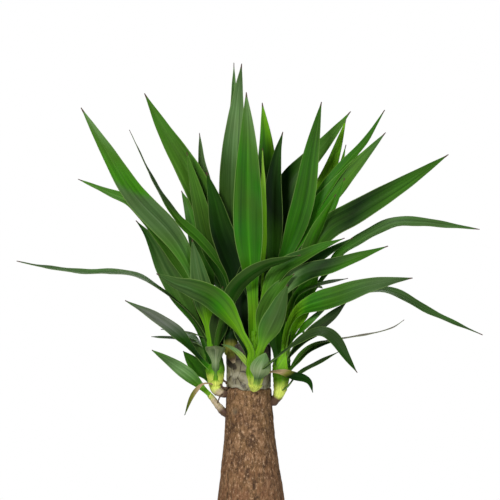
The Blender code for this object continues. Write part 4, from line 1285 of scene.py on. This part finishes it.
def clayMaterial():
    finish, tree, shader = newMaterial("clay", Specular_IOR_Level=0.25)
    place = objectPlace(tree)
    height = heightOf(tree, place)
    colour = mottle(tree, (0.450, 0.180, 0.095), place, 14.0, 0.35)
    # faint turning lines round the pot
    lines = cloudNoise(tree, objectPlace(tree, (0.03, 0.03, 1)), 420.0, 3)
    colour = overlay(tree, colour, lines, (0.55, 0.68), 0.25, (0.56, 0.27, 0.16))
    # mineral bloom, and a damp foot
    blotches = cloudNoise(tree, place, 26.0, 5, 0.65)
    bloom = times(tree, mask(tree, blotches, 0.46, 0.72), mask(tree, height, 0.02, 0.20))
    colour = mixColour(tree, times(tree, bloom, 0.38), colour, (0.66, 0.50, 0.40))
    colour = overlay(tree, colour, height, (0.055, 0.004), 0.35, (0.25, 0.095, 0.050))
    roughness = scaled(tree, blotches, 0.2, 0.70)
    relief = scaled(tree, lines, 0.8, grain(tree, place, 500.0, 0.5))
    connect(tree, shader, colour, roughness, relief, 0.5)
    return finish


clayPot = buildPot()
giveLayers(clayPot, (clayMaterial(),))
smoothShade(clayPot, 40)
finishPiece(clayPot, "clay", "pot")
print("pot made")


# soil, with crumbs, perlite and bits of bark strewn over it

soil = {
    "sides": 96,
    "level": 190.5,
    "relief": 3.0,
    "grains": 0.6,         # the finer relief, as a share of the other
    "hole": 62,            # the cane's radius at the soil,
    "holeInside": 4,       # how far the soil goes into the cane,
    "holeRows": [(150, 58), (112, 50), (84, 38), (74, 22)],    # and (height, radius) below
    "wallGap": 0.6,
    "floorGap": 0.4,
    "rows": 16,
    "looseFrom": 3,        # crumbs lie this far from the cane,
    "looseTo": 5,          # and this far from the pot's wall
    "stand": 0.3,          # a crumb's middle is this share of its half height over the soil
}


def buildSoil():
    wall = potInside(soil["level"]) - soil["wallGap"]
    bottom = pot["floor"] + soil["floorGap"]
    inside = soil["holeInside"]
    hole = soil["hole"] - inside
    rings = [(pot["middle"], bottom, 0), (potInside(pot["floor"]) - soil["floorGap"], bottom, 0),
             (wall, soil["level"] - 1.5, 0)]
    rings += [(float(hole + (wall - soil["hole"] + inside) * share), soil["level"], 0)
              for share in np.linspace(0.985, 0, soil["rows"])]
    rings += [(radius - inside, z, 0) for z, radius in soil["holeRows"]]
    made = turnUp("pottingSoil", rings, soil["sides"])
    height = readPoints(made)[:, 2] / mm
    weightPoints(made, "top", height > soil["level"] - 1)
    roughen(made, "lumps", "CLOUDS", 16, soil["relief"], "top")
    roughen(made, "grains", "CLOUDS", 4, soil["relief"] * soil["grains"], "top")
    for modifier in made.modifiers:
        modifier.direction = "Z"
    applyModifiers(made)
    made.vertex_groups.clear()
    return made


def strew(master, count, sizes, flatness, finish):
    # copies of one crumb, each turned, sized and half sunk
    made = []
    wall = potInside(soil["level"]) - soil["looseTo"]
    for _ in range(count):
        radius = math.sqrt(rng.uniform((soil["hole"] + soil["looseFrom"]) ** 2, wall ** 2))
        angle = rng.uniform(0, fullTurn)
        crumb = copySheet(master, "crumb")
        size = rng.uniform(*sizes)
        turn = Matrix.Rotation(rng.uniform(0, fullTurn), 4, "Z")
        turn = turn @ Matrix.Rotation(rng.uniform(-0.5, 0.5), 4, "X")
        shape = Matrix.Diagonal((size, size * rng.uniform(0.6, 1), size * flatness, 1))
        height = soil["level"] + size * flatness * soil["stand"]
        spot = Vector((radius * math.cos(angle), radius * math.sin(angle), height))
        crumb.data.transform(Matrix.Translation(spot * mm) @ turn @ Matrix.Scale(mm, 4) @ shape)
        giveLayers(crumb, (finish,))
        made.append(crumb)
    return made


def looseMaterial(name, colour, dark, pale, rough):
    finish, tree, shader = newMaterial(name, Specular_IOR_Level=0.2)
    place = objectPlace(tree)
    shade = mottle(tree, colour, place, 60.0, 0.8)
    specks = cloudNoise(tree, place, 420.0)
    shade = mixColour(tree, mask(tree, specks, 0.45, 0.33), shade, dark)
    shade = overlay(tree, shade, specks, (0.60, 0.70), 0.6, pale)
    connect(tree, shader, shade, scaled(tree, specks, 0.2, rough), grain(tree, place, 700.0, 1.0), 1.2)
    return finish


soilSkin = looseMaterial("soil", (0.036, 0.024, 0.016), (0.008, 0.006, 0.004), (0.11, 0.075, 0.05), 0.75)
perliteSkin = looseMaterial("perlite", (0.62, 0.60, 0.55), (0.35, 0.32, 0.28), (0.75, 0.74, 0.70), 0.7)
chipSkin = looseMaterial("barkChip", (0.16, 0.085, 0.045), (0.05, 0.028, 0.018), (0.28, 0.17, 0.10), 0.7)
looseKinds = [             # (how many, sizes, flatness, material)
    (420, (1.4, 4.2), 0.8, soilSkin),
    (46, (1.2, 2.4), 0.9, perliteSkin),
    (40, (3.5, 7.5), 0.28, chipSkin),
]
pottingSoil = buildSoil()
giveLayers(pottingSoil, (soilSkin, perliteSkin, chipSkin))
clearSelection()
bpy.ops.mesh.primitive_ico_sphere_add(subdivisions=1, radius=1)
crumbMaster = bpy.context.object
bpy.ops.object.mode_set(mode="EDIT")
bpy.ops.transform.vertex_random(offset=0.18, seed=3)
objectMode()
loose = [crumb for kind in looseKinds for crumb in strew(crumbMaster, *kind)]
pottingSoil = joinPieces([pottingSoil] + loose, "pottingSoil")
bpy.data.objects.remove(crumbMaster)
smoothShade(pottingSoil, 50)
finishPiece(pottingSoil, "soil", "soil")
print("soil made")


# stage: pale floor, soft lights, the photograph's viewpoint

stage = {
    "floorRadius": 1.25,
    "floorColour": (0.86, 0.86, 0.85),
    "worldLight": 0.04,
    "lights": [            # (place, size, power, colour)
        ((-1.1, -2.4, 1.9), 0.9, 68, (1.0, 0.98, 0.95)),
        ((1.7, -2.3, 1.0), 1.2, 26, (0.96, 0.98, 1.0)),
        ((0.0, 0.3, 2.9), 1.2, 32, (1.0, 1.0, 1.0)),
        ((0.4, 2.4, 1.8), 1.6, 16, (1.0, 1.0, 1.0)),
    ],
    "distance": 3.6,
    "elevation": 3,
    "target": (-0.0015, 0, 0.695),
    "width": 0.75,         # of the view at the target
    "sensor": 36,
    "farthest": 30,
}

clearSelection()
bpy.ops.mesh.primitive_circle_add(vertices=96, radius=stage["floorRadius"], fill_type="NGON",
                                  location=(0, 0, 0))
floor = bpy.context.object
floor.name = "floor"
floorSkin, floorTree, floorShader = newMaterial("floor", Roughness=0.85, Specular_IOR_Level=0.1)
floorShader.inputs["Base Color"].default_value = (*stage["floorColour"], 1)
floor.data.materials.append(floorSkin)

aim = Vector(stage["target"])
for index, (place, size, power, colour) in enumerate(stage["lights"]):
    bpy.ops.object.light_add(type="AREA", location=place)
    lamp = bpy.context.object
    lamp.name = f"softbox{index}"
    lamp.data.shape = "DISK"
    lamp.data.size = size
    lamp.data.energy = power
    lamp.data.color = colour
    lamp.rotation_euler = (aim - Vector(place)).to_track_quat("-Z", "Y").to_euler()

world = bpy.data.worlds.new("studio")
bpy.context.scene.world = world
world.use_nodes = True
sky = world.node_tree
lit = sky.nodes["Background"]
lit.inputs["Color"].default_value = (1, 1, 1, 1)
lit.inputs["Strength"].default_value = stage["worldLight"]
seen = addNode(sky, "Background", {"Color": (1, 1, 1, 1), "Strength": 1.0})
either = addNode(sky, "MixShader", {0: addNode(sky, "LightPath").outputs["Is Camera Ray"]})
sky.links.new(lit.outputs[0], either.inputs[1])
sky.links.new(seen.outputs[0], either.inputs[2])
sky.links.new(either.outputs[0], sky.nodes["World Output"].inputs["Surface"])

tilt = math.radians(stage["elevation"])
distance = stage["distance"]
bpy.ops.object.camera_add(location=aim + Vector((0, -distance * math.cos(tilt), distance * math.sin(tilt))),
                          rotation=(math.pi / 2 - tilt, 0, 0))
camera = bpy.context.object
camera.data.sensor_width = stage["sensor"]
camera.data.lens = stage["sensor"] * distance / stage["width"]
camera.data.clip_end = stage["farthest"]
bpy.context.scene.camera = camera
bpy.context.scene.view_settings.view_transform = "Standard"
print("stage set")

for helper in (leafSheet, stemSheet):
    bpy.data.objects.remove(helper)
